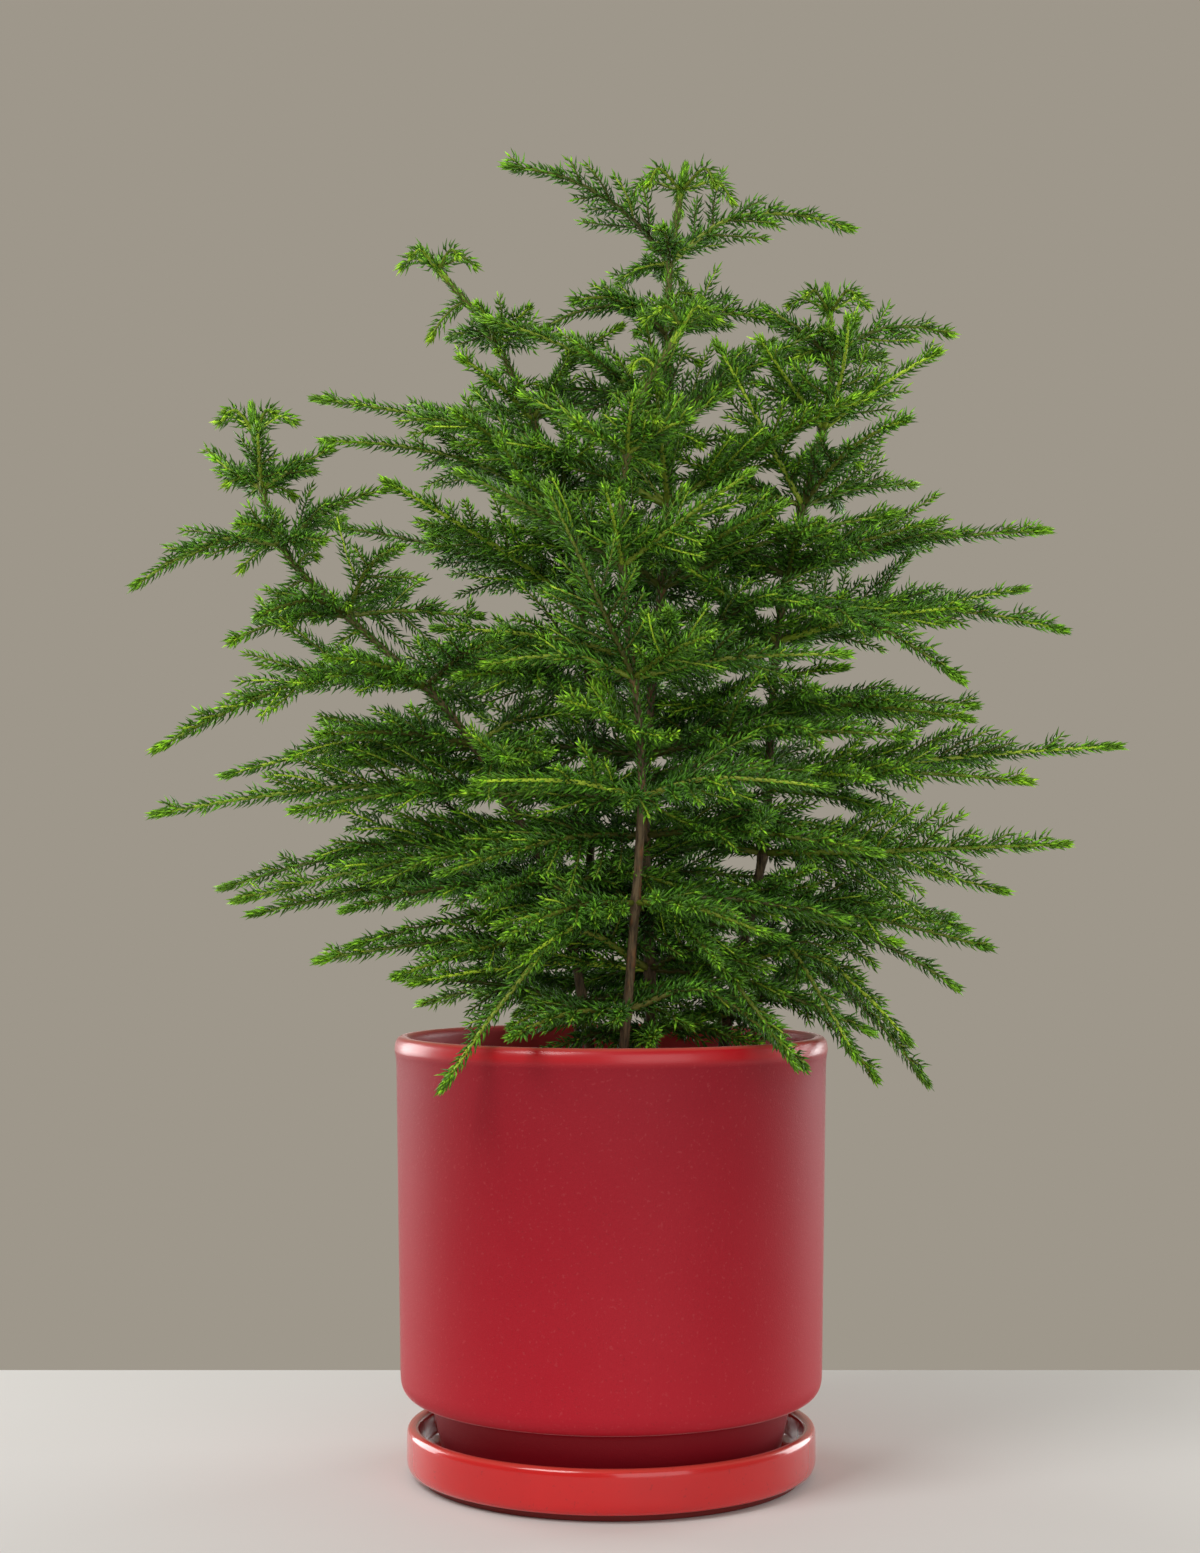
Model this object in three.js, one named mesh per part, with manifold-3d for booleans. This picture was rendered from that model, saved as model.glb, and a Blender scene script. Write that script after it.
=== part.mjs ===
// A mini pine in a pot: five young Norfolk Island pines planted together in a matt red
// ceramic cylinder with a recessed foot, standing in its glazed saucer.
// Millimetres, +Z up. The origin is the middle of the saucer's underside.
// The saucer, the pot, the drainage stone, the potting mix, every trunk, every whorl of
// branches and every leading shoot is a separate solid. The branches are plain tapered
// solids along the real branch lines.

import * as THREE from "three";
import { mergeVertices } from "three/addons/utils/BufferGeometryUtils.js";
import Module from "manifold-3d";

const wasm = await Module();
wasm.setup();

// ---- driving dimensions -------------------------------------------------------------

const GAP = 0.3; // air between pieces that touch
const ROUND_SIDES = 32; // facets of the pot and everything that fills it

const SAUCER = { radius: 98.3, height: 24, wall: 6, floor: 8, footRadius: 92, footHeight: 2.8 };

const POT = {
  rimRadius: 105, // at the rolled lip
  bodyTopRadius: 104.2,
  bodyBottomRadius: 101.5,
  top: 210,
  bodyBottom: 34, // underside of the body, above the recessed foot
  corner: 10, // rounding between body and underside
  wall: 7,
  footTopRadius: 87,
  footBottomRadius: 80.5,
  footWall: 8,
  floor: 16, // inside floor, down in the foot
  shoulder: 41, // inside height of the step from the foot to the body
  drainRadius: 11,
};

const FILL = { clearance: 0.6, stoneTop: 37, soilEdge: 176, soilCrown: 183 };

const BRANCH = {
  sections: 3, // straight stretches along one branch
  rootHalfWidth: 1.2,
  halfWidth: 2.4,
  tipHalfWidth: 0.9,
  flatness: 0.7, // height of the section over its width
  room: 3.2, // kept free round a branch's line
  arch: 0.05, // usual height of the arch as a share of the reach
  rootDepth: 1.4, // from the trunk's surface out to where a branch's line starts
  perWhorl: 6,
  leastTurn: 24, // degrees between neighbours in one whorl
};
// How far one branch differs from the next. The four shares go with the reach.
const VARIETY = {
  leastArch: 0.85,
  archSpread: 0.3,
  sweepSpread: 0.1,
  leastReach: 0.8,
  reachSpread: 0.36,
  turnSpread: 16, // degrees
  riseSpread: 44,
  flatterArch: 0.056, // taken off the usual arch before its spread is added
  fillArchSpread: 0.14,
};
// What a branch with no room tries in turn: degrees to either side, and lifts of its tip.
const TURNS = [0, 6, -6, 13, -13, 20, -20, 26, -26];
const LIFTS = [0, 6, -6, 12, -12, 20, 30, 40];
const TRACE_STEP = 3; // distance between the points that are tested along a line
const AT_ROOT = { points: 2, room: 1 }; // tested points that may touch the trunk, then the room

const RIM_CLEARANCE = 4.5; // between a branch's line and the pot or the potting mix
// Kept free of branches beside the trunks, from the potting mix up, for watering by hand.
const WATERING_SPACE = new THREE.Box3(
  new THREE.Vector3(-86, -40, 184),
  new THREE.Vector3(-22, 28, 214),
).expandByScalar(RIM_CLEARANCE);

const COLLAR = { sides: 6, halfHeight: 2.4, wall: 3 };
const TRUNK = { sides: 7, steps: 14, room: 5.4, sheath: 0.4 };
const BUD = { sides: 8, foot: 0.8, swell: 0.4, swellHeight: 3, shoulder: 9, height: 12 };
const CROWN = { shoots: 5, firstBearing: 17, height: 4, start: 0.9 };

// Each tree: its trunk's line from root tip to top, radius at the soil and at the top, the
// shape of its leading shoot's crown, and its whorls from the lowest up. A whorl has its
// height, the usual reach and rise of its branches, and the branches that stand out as
// [bearing in degrees, reach, rise of the tip, arch as a share of the reach]. Bearing 0 is
// +X and 90 is +Y. More branches fill the rest of the whorl, each in its widest gap.
const TREES = [
  {
    name: "tall",
    line: [
      [20, -28, 112], [20, -28, 180], [18, -22, 255], [16, -16, 330], [22, -10, 400],
      [28, -5, 470], [28, -2, 540], [30, 0, 600], [34, 0, 622],
    ],
    radius: [2.9, 1.5],
    crown: { reach: 27, rise: -3, arch: 12 },
    whorls: [
      { height: 214, reach: 60, rise: -6, shoots: [[200, 66, -10], [320, 62, -8], [262, 54, -6]] },
      {
        height: 242,
        reach: 100,
        rise: -12,
        shoots: [[186, 120, -6], [221, 130, -56, 0.3], [306, 112, -44, 0.26]],
      },
      { height: 272, reach: 120, rise: -10, shoots: [[184, 150, -20], [238, 112, -24], [288, 100, -26]] },
      {
        height: 306,
        reach: 132,
        rise: -6,
        shoots: [[178, 200, -32, 0.04], [221, 130, -20], [327, 132, -10]],
      },
      { height: 345, reach: 134, rise: 4, shoots: [[186, 150, -4], [325, 150, 4], [254, 110, 20]] },
      {
        height: 388,
        reach: 128,
        rise: 14,
        shoots: [[205, 120, 14], [323, 176, -20, 0.2], [272, 96, 18]],
      },
      { height: 428, reach: 114, rise: 30, shoots: [[226, 104, 44], [300, 108, 26], [350, 120, 34]] },
      {
        height: 468,
        reach: 100,
        rise: 44,
        shoots: [[172, 188, 60, 0.07], [262, 62, 68, 0.02], [330, 106, 46]],
      },
      { height: 510, reach: 80, rise: 42, shoots: [[188, 96, 50, 0.1], [255, 52, 46], [345, 84, 44]] },
      {
        height: 552,
        reach: 60,
        rise: 12,
        shoots: [[180, 66, 2, 0.22], [212, 60, 10, 0.2], [15, 62, 10, 0.16]],
      },
      {
        height: 590,
        reach: 44,
        rise: 14,
        shoots: [[183, 86, 48, 0.16], [2, 94, 20, 0.2], [205, 70, -28, 0.4]],
      },
    ],
  },
  {
    name: "left",
    line: [
      [-8, -14, 118], [-8, -14, 180], [-25, -18, 277], [-49, -21, 321], [-78, -23, 366],
      [-117, -24, 403], [-158, -22, 444], [-168, -20, 470], [-172, -20, 498],
    ],
    radius: [2.6, 1.3],
    crown: { reach: 19, rise: 6, arch: 5 },
    whorls: [
      { height: 226, reach: 86, rise: -8, shoots: [[172, 98, 12], [240, 86, -14], [130, 90, 0]] },
      { height: 254, reach: 104, rise: -8, shoots: [[188, 128, -8], [222, 112, -14]] },
      {
        height: 282,
        reach: 112,
        rise: -8,
        shoots: [[176, 156, -15, 0.05], [250, 94, -8], [214, 120, -12]],
      },
      { height: 304, reach: 108, rise: -4, shoots: [[169, 164, -25], [150, 126, -4], [232, 100, 0]] },
      {
        height: 326,
        reach: 100,
        rise: -2,
        shoots: [[181, 176, -11, 0.05], [207, 112, -10], [118, 100, 6]],
      },
      { height: 350, reach: 92, rise: 2, shoots: [[178, 126, -16], [222, 96, 0], [140, 92, 8]] },
      { height: 378, reach: 84, rise: 8, shoots: [[184, 142, -26, 0.12], [128, 100, 14], [236, 78, 8]] },
      {
        height: 412,
        reach: 66,
        rise: 10,
        shoots: [[180, 64, -12, 0.1], [160, 80, 4], [236, 68, -8, 0.12]],
      },
      { height: 446, reach: 50, rise: 14, shoots: [[184, 74, -25, 0.18], [120, 46, 18], [60, 56, 22]] },
      { height: 474, reach: 34, rise: 12, shoots: [[196, 36, -16, 0.4], [90, 34, 14]] },
    ],
  },
  {
    name: "right",
    line: [
      [50, 12, 116], [52, 12, 180], [64, 8, 250], [75, 4, 300], [78, 2, 350], [82, 0, 406],
      [93, -4, 464], [104, -4, 506], [110, -4, 540], [108, -4, 560],
    ],
    radius: [2.8, 1.4],
    crown: { reach: 20, rise: 5, arch: 6 },
    whorls: [
      {
        height: 218,
        reach: 56,
        rise: -8,
        shoots: [[350, 110, -40, 0.3], [322, 88, -30, 0.3], [285, 60, -10]],
      },
      {
        height: 246,
        reach: 98,
        rise: -18,
        shoots: [[340, 88, -42, 0.26], [8, 116, -18, 0.2], [300, 100, -46, 0.3]],
      },
      { height: 272, reach: 108, rise: -14, shoots: [[358, 110, -12], [334, 126, -20], [22, 120, -6]] },
      {
        height: 298,
        reach: 112,
        rise: -8,
        shoots: [[3, 126, -20, 0.05], [339, 156, 4, 0], [42, 110, -4]],
      },
      {
        height: 330,
        reach: 114,
        rise: 0,
        shoots: [[358, 180, 21, 0.03], [334, 138, 0], [24, 104, -26], [295, 100, 0]],
      },
      {
        height: 366,
        reach: 110,
        rise: 6,
        shoots: [[352, 104, 3], [322, 116, -8], [280, 88, 6], [30, 110, 4]],
      },
      {
        height: 402,
        reach: 104,
        rise: 14,
        shoots: [[352, 146, 2, 0.1], [16, 140, 32, 0.02], [325, 108, 10], [250, 80, 20]],
      },
      {
        height: 434,
        reach: 92,
        rise: 24,
        shoots: [[3, 136, 24, 0.06], [32, 78, 40], [318, 92, 18], [205, 70, 22]],
      },
      {
        height: 468,
        reach: 76,
        rise: 36,
        shoots: [[10, 122, 57, 0.16], [344, 122, 40, 0.14], [38, 84, 20], [240, 62, 78, 0.02]],
      },
      { height: 506, reach: 58, rise: 34, shoots: [[25, 68, 40, 0.1], [228, 54, 40], [330, 66, 34]] },
      { height: 540, reach: 42, rise: 14, shoots: [[0, 62, 12, 0.2], [186, 50, 49, 0.2], [44, 42, 10]] },
    ],
  },
  {
    name: "back",
    line: [
      [-18, 38, 118], [-18, 38, 180], [-12, 36, 260], [-10, 34, 362], [-18, 30, 440],
      [-30, 27, 490], [-48, 24, 536], [-66, 20, 568], [-84, 16, 588],
    ],
    radius: [2.6, 1.4],
    crown: { reach: 19, rise: 3, arch: 6 },
    whorls: [
      { height: 232, reach: 100, rise: -12, shoots: [[98, 110, -14], [150, 104, -12], [60, 104, -10]] },
      { height: 282, reach: 128, rise: -8, shoots: [[140, 140, -12], [85, 136, -8], [40, 120, -6]] },
      { height: 330, reach: 146, rise: 0, shoots: [[110, 160, 0], [55, 150, 2], [162, 130, -2]] },
      { height: 378, reach: 142, rise: 14, shoots: [[168, 150, 14], [75, 150, 16], [120, 140, 12]] },
      {
        height: 424,
        reach: 124,
        rise: 34,
        shoots: [[172, 136, 44, 0.07], [30, 118, 36], [100, 130, 34]],
      },
      { height: 470, reach: 100, rise: 38, shoots: [[178, 128, 38, 0.1], [60, 96, 40], [135, 100, 40]] },
      { height: 516, reach: 70, rise: 28, shoots: [[186, 92, 26, 0.15], [232, 62, 24], [40, 66, 28]] },
      { height: 556, reach: 44, rise: 12, shoots: [[178, 76, 8, 0.2], [95, 44, 16], [300, 40, 10]] },
    ],
  },
  {
    name: "front",
    line: [
      [4, -56, 118], [4, -56, 180], [10, -59, 260], [14, -60, 336], [8, -60, 400],
      [4, -62, 450], [8, -66, 486], [16, -71, 514], [30, -77, 536],
    ],
    radius: [2.5, 1.3],
    crown: { reach: 17, rise: 5, arch: 5 },
    whorls: [
      { height: 224, reach: 50, rise: -8, shoots: [[200, 80, -10], [327, 92, -26, 0.25], [262, 34, -4]] },
      { height: 274, reach: 78, rise: -10, shoots: [[228, 92, -16], [308, 96, -14], [345, 104, -8]] },
      { height: 324, reach: 84, rise: 0, shoots: [[213, 96, 4], [318, 114, 0], [262, 56, -8]] },
      { height: 378, reach: 82, rise: 12, shoots: [[213, 70, 86, 0.02], [296, 82, 14], [338, 108, 8]] },
      { height: 430, reach: 68, rise: 28, shoots: [[196, 84, 44], [322, 78, 40], [258, 44, 34]] },
      { height: 482, reach: 48, rise: 26, shoots: [[176, 54, 32], [8, 54, 34], [288, 36, 24]] },
    ],
  },
];

// ---- colours and finishes -----------------------------------------------------------

const finish = (color, roughness) => new THREE.MeshStandardMaterial({ color, roughness, metalness: 0 });
const FINISH = {
  pot: finish(0xa8323f, 0.5),
  saucer: finish(0xb42a30, 0.2),
  stone: finish(0x5a4038, 0.95),
  soil: finish(0x2c211a, 1),
  bark: finish(0x6b4a33, 0.85),
  foliage: finish(0x2f6a22, 0.6),
};

// ---- helpers ------------------------------------------------------------------------

// A seeded generator, so that the same plant grows every time.
function seeded(seed) {
  let state = seed;
  return () => {
    state = (state + 0x6d2b79f5) | 0;
    let t = Math.imul(state ^ (state >>> 15), 1 | state);
    t = (t + Math.imul(t ^ (t >>> 7), 61 | t)) ^ t;
    return ((t ^ (t >>> 14)) >>> 0) / 4294967296;
  };
}

const vector = ([x, y, z]) => new THREE.Vector3(x, y, z);
const UP = new THREE.Vector3(0, 0, 1);
const AWAY = new THREE.Vector3(0, 1, 0);

// A three.js geometry as a manifold-3d solid, joined at its shared vertices.
function solidOf(geometry) {
  const bare = new THREE.BufferGeometry();
  bare.setAttribute("position", geometry.getAttribute("position"));
  if (geometry.index) bare.setIndex(geometry.index);
  const merged = mergeVertices(bare, 1e-4);
  const mesh = new wasm.Mesh({
    numProp: 3,
    vertProperties: new Float32Array(merged.attributes.position.array),
    triVerts: new Uint32Array(merged.index.array),
  });
  return new wasm.Manifold(mesh);
}

function geometryOf(solid) {
  const { vertProperties, triVerts } = solid.getMesh();
  const geometry = new THREE.BufferGeometry();
  geometry.setAttribute("position", new THREE.BufferAttribute(vertProperties, 3));
  geometry.setIndex(new THREE.BufferAttribute(triVerts, 1));
  return geometry;
}

// A turned solid about +Z from [radius, height] points, listed up the outside first.
function turned(profile, sides) {
  const points = profile.map(([radius, height]) => new THREE.Vector2(radius, height));
  return new THREE.LatheGeometry(points, sides).rotateX(Math.PI / 2);
}

// Points of a quarter turn from one [radius, height] to another, bulging to the corner.
function rounded(from, corner, to, steps) {
  const curve = new THREE.QuadraticBezierCurve(
    new THREE.Vector2(...from),
    new THREE.Vector2(...corner),
    new THREE.Vector2(...to),
  );
  return curve.getPoints(steps).map((point) => [point.x, point.y]);
}

// A closed tube whose rings stand square to a curve. sizeAt gives [half width, half height],
// and the height is measured as near to "above" as the curve allows.
function taperedTube(curve, sizeAt, sides, steps, above) {
  const frames = curve.computeFrenetFrames(steps, false);
  const positions = [];
  for (let i = 0; i <= steps; i++) {
    const centre = curve.getPointAt(i / steps);
    const across = new THREE.Vector3().crossVectors(frames.tangents[i], above).normalize();
    const upward = new THREE.Vector3().crossVectors(frames.tangents[i], across);
    const [halfWidth, halfHeight] = sizeAt(i / steps);
    for (let k = 0; k < sides; k++) {
      const angle = (2 * Math.PI * k) / sides;
      const point = centre
        .clone()
        .addScaledVector(across, halfWidth * Math.cos(angle))
        .addScaledVector(upward, halfHeight * Math.sin(angle));
      positions.push(point.x, point.y, point.z);
    }
  }
  const faces = [];
  for (let i = 0; i < steps; i++)
    for (let k = 0; k < sides; k++) {
      const a = i * sides + k;
      const b = i * sides + ((k + 1) % sides);
      faces.push(a, b, b + sides, a, b + sides, a + sides);
    }
  for (let k = 1; k < sides - 1; k++) {
    faces.push(0, k + 1, k);
    faces.push(steps * sides, steps * sides + k, steps * sides + k + 1);
  }
  const geometry = new THREE.BufferGeometry();
  geometry.setAttribute("position", new THREE.Float32BufferAttribute(positions, 3));
  geometry.setIndex(faces);
  return geometry;
}

// ---- pot, saucer and fill -----------------------------------------------------------

function saucer() {
  const { radius, height, wall, floor, footRadius, footHeight } = SAUCER;
  const inner = radius - wall;
  return turned(
    [
      [0, 0],
      [footRadius, 0],
      [footRadius + 0.6, footHeight],
      ...rounded([footRadius + 4, footHeight + 0.6], [radius, footHeight + 0.8], [radius, 10], 3),
      [radius, height - 6],
      ...rounded([radius - 0.2, height - 4], [radius - 0.6, height], [radius - 3, height], 3),
      ...rounded([radius - 3.6, height - 0.1], [inner, height - 0.6], [inner - 0.2, height - 4], 2),
      ...rounded([inner - 0.8, floor + 5], [inner - 1.6, floor], [inner - 8, floor], 3),
      [0, floor],
    ],
    ROUND_SIDES,
  );
}

// Radius of the pot's inner wall at a height.
function potInside(height) {
  const share = (height - POT.bodyBottom) / (POT.top - POT.bodyBottom);
  return POT.bodyBottomRadius + (POT.bodyTopRadius - POT.bodyBottomRadius) * share - POT.wall;
}

// The outline of the pot's hollow, from its floor up to the lip.
function hollow() {
  const { floor, shoulder, footWall, footBottomRadius, footTopRadius, top } = POT;
  const low = footBottomRadius - footWall;
  const high = footTopRadius - footWall;
  return [
    ...rounded([low - 6, floor], [low, floor], [low + 1, floor + 5], 3),
    [high, shoulder - 1.5],
    ...rounded(
      [high + 5, shoulder],
      [potInside(shoulder), shoulder],
      [potInside(shoulder + 9), shoulder + 9],
      3,
    ),
    [potInside(top - 4), top - 4],
  ];
}

function pot() {
  const seat = SAUCER.floor + GAP;
  const { bodyBottom: low, corner, top, rimRadius, bodyBottomRadius: waist } = POT;
  return turned(
    [
      [POT.drainRadius, seat],
      [POT.footBottomRadius, seat],
      [POT.footTopRadius, low - 0.6],
      ...rounded([waist - corner, low + 0.6], [waist, low + 1.2], [waist, low + corner + 1], 4),
      [POT.bodyTopRadius, top - 13],
      [rimRadius, top - 6],
      ...rounded([rimRadius, top - 4], [rimRadius - 0.6, top], [rimRadius - 3.4, top], 3),
      ...rounded([rimRadius - 4, top], [potInside(top), top - 0.6], [potInside(top), top - 3], 2),
      ...hollow().reverse(),
      [POT.drainRadius, POT.floor],
      [POT.drainRadius, seat],
    ],
    ROUND_SIDES,
  );
}

// A layer of the pot's fill between two heights, with its own outline on top.
function layer(low, high, topOutline) {
  const side = hollow().map(([radius, height]) => [radius - FILL.clearance, height + FILL.clearance]);
  const radiusAt = (height) => {
    const i = Math.max(1, side.findIndex((point) => point[1] >= height));
    const share = (height - side[i - 1][1]) / (side[i][1] - side[i - 1][1]);
    return THREE.MathUtils.lerp(side[i - 1][0], side[i][0], share);
  };
  return turned(
    [
      [0, low],
      [radiusAt(low), low],
      ...side.filter(([, height]) => height > low + 0.1 && height < high - 0.1),
      [radiusAt(high), high],
      ...topOutline,
    ],
    ROUND_SIDES,
  );
}

function drainageStone() {
  return layer(POT.floor + FILL.clearance, FILL.stoneTop, [[0, FILL.stoneTop]]);
}

// The potting mix, with a socket for each trunk's root.
function pottingSoil(trees) {
  const { stoneTop, soilEdge, soilCrown } = FILL;
  const bed = layer(stoneTop + GAP, soilEdge, [[60, soilCrown - 2.5], [0, soilCrown]]);
  const sockets = trees.map((tree) => {
    const [x, y, z] = tree.line[0];
    const radius = tree.radius[0] + GAP;
    const end = turned([[0, -GAP], [radius, -GAP], [radius, GAP], [0, GAP]], 8);
    return tree.sheath.add(solidOf(end.translate(x, y, z)));
  });
  return geometryOf(sockets.reduce((left, socket) => left.subtract(socket), solidOf(bed)));
}

// ---- the trees ----------------------------------------------------------------------

function trunkRadius(tree, share) {
  const [low, high] = tree.radius;
  return low + (high - low) * share;
}

// The share of the trunk's length at which it reaches a height.
function shareAt(tree, height) {
  let low = 0;
  let high = 1;
  for (let i = 0; i < 40; i++) {
    const middle = (low + high) / 2;
    if (tree.curve.getPointAt(middle).z < height) low = middle;
    else high = middle;
  }
  return low;
}

// The trunk itself, or with room to spare the sheath that other pieces are cut back to.
function trunk(tree, room) {
  const size = (share) => [trunkRadius(tree, share) + room, trunkRadius(tree, share) + room];
  return taperedTube(tree.curve, size, TRUNK.sides, TRUNK.steps, AWAY);
}

// A branch's line from its spot on the trunk: square out of the wood along its bearing,
// arched early, drooping to its tip and swept a little to one side.
function branchLine(spot, bearing, shape, lift) {
  const turn = THREE.MathUtils.degToRad(bearing);
  const out = new THREE.Vector3(Math.cos(turn), Math.sin(turn), 0);
  const side = new THREE.Vector3(-Math.sin(turn), Math.cos(turn), 0);
  const square = out.clone().projectOnPlane(spot.direction).normalize();
  const root = spot.centre.clone().addScaledVector(square, spot.start);
  const tip = spot.centre.clone().addScaledVector(out, shape.reach);
  tip.z += shape.rise + lift;
  const points = [];
  for (let i = 0; i <= 8; i++) {
    const s = i / 8;
    points.push(
      root
        .clone()
        .lerp(tip, s)
        .addScaledVector(UP, shape.arch * Math.sin(Math.PI * s ** 0.75))
        .addScaledVector(side, shape.sweep * Math.sin(Math.PI * s)),
    );
  }
  return new THREE.CatmullRomCurve3(points);
}

function branchSize(share) {
  const { rootHalfWidth, halfWidth, tipHalfWidth, flatness } = BRANCH;
  const thick = Math.min(1, share * 4);
  const wide =
    rootHalfWidth * (1 - thick) + thick * (halfWidth + (tipHalfWidth - halfWidth) * share);
  return [wide, wide * flatness];
}

// Bearings for the rest of a whorl: each takes the middle of the widest gap left.
function fillGaps(bearings, count) {
  const added = bearings.length > 0 ? [] : [0];
  const all = [...bearings, ...added];
  while (all.length < count) {
    all.sort((a, b) => a - b);
    const gaps = all.map((b, i) => (i + 1 < all.length ? all[i + 1] : all[0] + 360) - b);
    const widest = gaps.indexOf(Math.max(...gaps));
    const found = (all[widest] + gaps[widest] / 2) % 360;
    all.push(found);
    added.push(found);
  }
  return added;
}

const turnBetween = (a, b) => Math.abs(((a - b + 540) % 360) - 180);

// A line as a row of points, with the room round it and the box that holds both.
function traced(owner, curve, room) {
  const points = curve.getSpacedPoints(Math.ceil(curve.getLength() / TRACE_STEP));
  const box = new THREE.Box3().setFromPoints(points).expandByScalar(room);
  return { owner, points, room, box };
}

// Whether two traced lines leave each other their room.
function apart(first, second) {
  if (!first.box.intersectsBox(second.box)) return true;
  const least = (first.room + second.room) ** 2;
  return first.points.every((a) => second.points.every((b) => a.distanceToSquared(b) > least));
}

// Whether a row of points keeps off the pot's rim, outside, inside and above, and out of the
// watering space.
function clearOfPot(points) {
  return points.every((point) => {
    if (WATERING_SPACE.containsPoint(point)) return false;
    const { x, y, z } = point;
    const radius = Math.hypot(x, y);
    const outside = radius > POT.rimRadius + RIM_CLEARANCE;
    const inside = radius < potInside(POT.top) - RIM_CLEARANCE && z > FILL.soilCrown + RIM_CLEARANCE;
    return z > POT.top + RIM_CLEARANCE || outside || inside;
  });
}

// Whether a branch leaves its room to everything grown so far but its own whorl. Near its
// root it comes as close to its own trunk as it has to.
function hasRoom(whorl, found, grown) {
  const beyondRoot = { ...found, points: found.points.slice(AT_ROOT.points), room: AT_ROOT.room };
  return grown.every((other) => {
    if (other.owner === whorl.name) return true;
    return apart(other.owner === whorl.trunkName ? beyondRoot : found, other);
  });
}

// Grows one branch that clears everything already grown: it turns aside and lifts in small
// steps until it does. The line is kept with its whorl, and a branch with no room is left out.
function growBranch(whorl, shape, grown) {
  for (const lift of LIFTS)
    for (const turn of TURNS) {
      const bearing = (shape.bearing + turn + 360) % 360;
      if (whorl.bearings.some((other) => turnBetween(other, bearing) < BRANCH.leastTurn)) continue;
      const line = branchLine(whorl, bearing, shape, lift);
      const found = traced(whorl.name, line, BRANCH.room);
      if (!clearOfPot(found.points) || !hasRoom(whorl, found, grown)) continue;
      grown.push(found);
      whorl.bearings.push(bearing);
      whorl.lines.push(line);
      return;
    }
}

const branchSolid = (line) => solidOf(taperedTube(line, branchSize, 4, BRANCH.sections, UP));

// Turns a piece made along +Z to a place and direction on the trunk.
function placed(geometry, point, direction) {
  const turn = new THREE.Quaternion().setFromUnitVectors(UP, direction);
  return geometry.applyQuaternion(turn).translate(point.x, point.y, point.z);
}

// A whorl before its branches have grown: its place on the trunk and its empty lists.
function whorlOf(tree, plan, number) {
  const share = shareAt(tree, plan.height);
  const radius = trunkRadius(tree, share);
  return {
    name: `whorl_${tree.name}_${number}`,
    trunkName: `trunk_${tree.name}`,
    tree,
    plan,
    centre: tree.curve.getPointAt(share),
    direction: tree.curve.getTangentAt(share),
    trunkRadius: radius,
    start: radius + BRANCH.rootDepth,
    bearings: [],
    lines: [],
  };
}

// A shape's arch and sweep vary a little from branch to branch.
function varied(shape, archShare, random) {
  shape.arch = shape.reach * archShare * (VARIETY.leastArch + VARIETY.archSpread * random());
  shape.sweep = shape.reach * VARIETY.sweepSpread * (random() - 0.5);
  return shape;
}

function growToldBranches(whorl, grown, random) {
  for (const [bearing, reach, rise, arch = BRANCH.arch] of whorl.plan.shoots)
    growBranch(whorl, varied({ bearing, reach, rise }, arch, random), grown);
}

function growOtherBranches(whorl, grown, random) {
  for (const gap of fillGaps(whorl.bearings, BRANCH.perWhorl)) {
    const bearing = (gap + 360 + VARIETY.turnSpread * (random() - 0.5)) % 360;
    const reach = whorl.plan.reach * (VARIETY.leastReach + VARIETY.reachSpread * random());
    const rise = whorl.plan.rise + VARIETY.riseSpread * (random() - 0.5);
    const arch = BRANCH.arch - VARIETY.flatterArch + VARIETY.fillArchSpread * random();
    growBranch(whorl, varied({ bearing, reach, rise }, arch, random), grown);
  }
}

const joinedTo = (core, lines) => lines.reduce((joined, line) => joined.add(branchSolid(line)), core);

// A ring of wood round the trunk with its whorl's branches, cut to fit the trunk.
function whorlSolid(whorl) {
  const { sides, halfHeight, wall } = COLLAR;
  const outer = whorl.trunkRadius + wall;
  const profile = [[0, -halfHeight], [outer, -halfHeight], [outer, halfHeight], [0, halfHeight]];
  const collar = solidOf(placed(turned(profile, sides), whorl.centre, whorl.direction));
  return geometryOf(joinedTo(collar, whorl.lines).subtract(whorl.tree.sheath));
}

// The leading shoot: a bud on the trunk's end with a small crown of new shoots.
function leader(tree, grown) {
  const end = tree.curve.getPointAt(1);
  const direction = tree.curve.getTangentAt(1);
  const width = trunkRadius(tree, 1) + BUD.foot;
  const bud = turned(
    [
      [0, 0],
      [width, 0],
      [width + BUD.swell, BUD.swellHeight],
      [width / 2, BUD.shoulder],
      [0, BUD.height],
    ],
    BUD.sides,
  );
  const base = end.clone().addScaledVector(direction, GAP);
  const crown = {
    name: `leader_${tree.name}`,
    trunkName: `trunk_${tree.name}`,
    centre: base.clone().addScaledVector(direction, CROWN.height),
    direction,
    start: CROWN.start,
    bearings: [],
    lines: [],
  };
  for (let i = 0; i < CROWN.shoots; i++) {
    const bearing = (i * 360) / CROWN.shoots + CROWN.firstBearing;
    growBranch(crown, { ...tree.crown, bearing, sweep: 0 }, grown);
  }
  return geometryOf(joinedTo(solidOf(placed(bud, base, direction)), crown.lines));
}

// ---- assembly -----------------------------------------------------------------------

const plant = new THREE.Group();

function addPiece(name, geometry, material) {
  const mesh = new THREE.Mesh(geometry, material);
  mesh.name = name;
  plant.add(mesh);
}

for (const tree of TREES) {
  tree.curve = new THREE.CatmullRomCurve3(tree.line.map(vector));
  tree.sheath = solidOf(trunk(tree, TRUNK.sheath));
}

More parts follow.
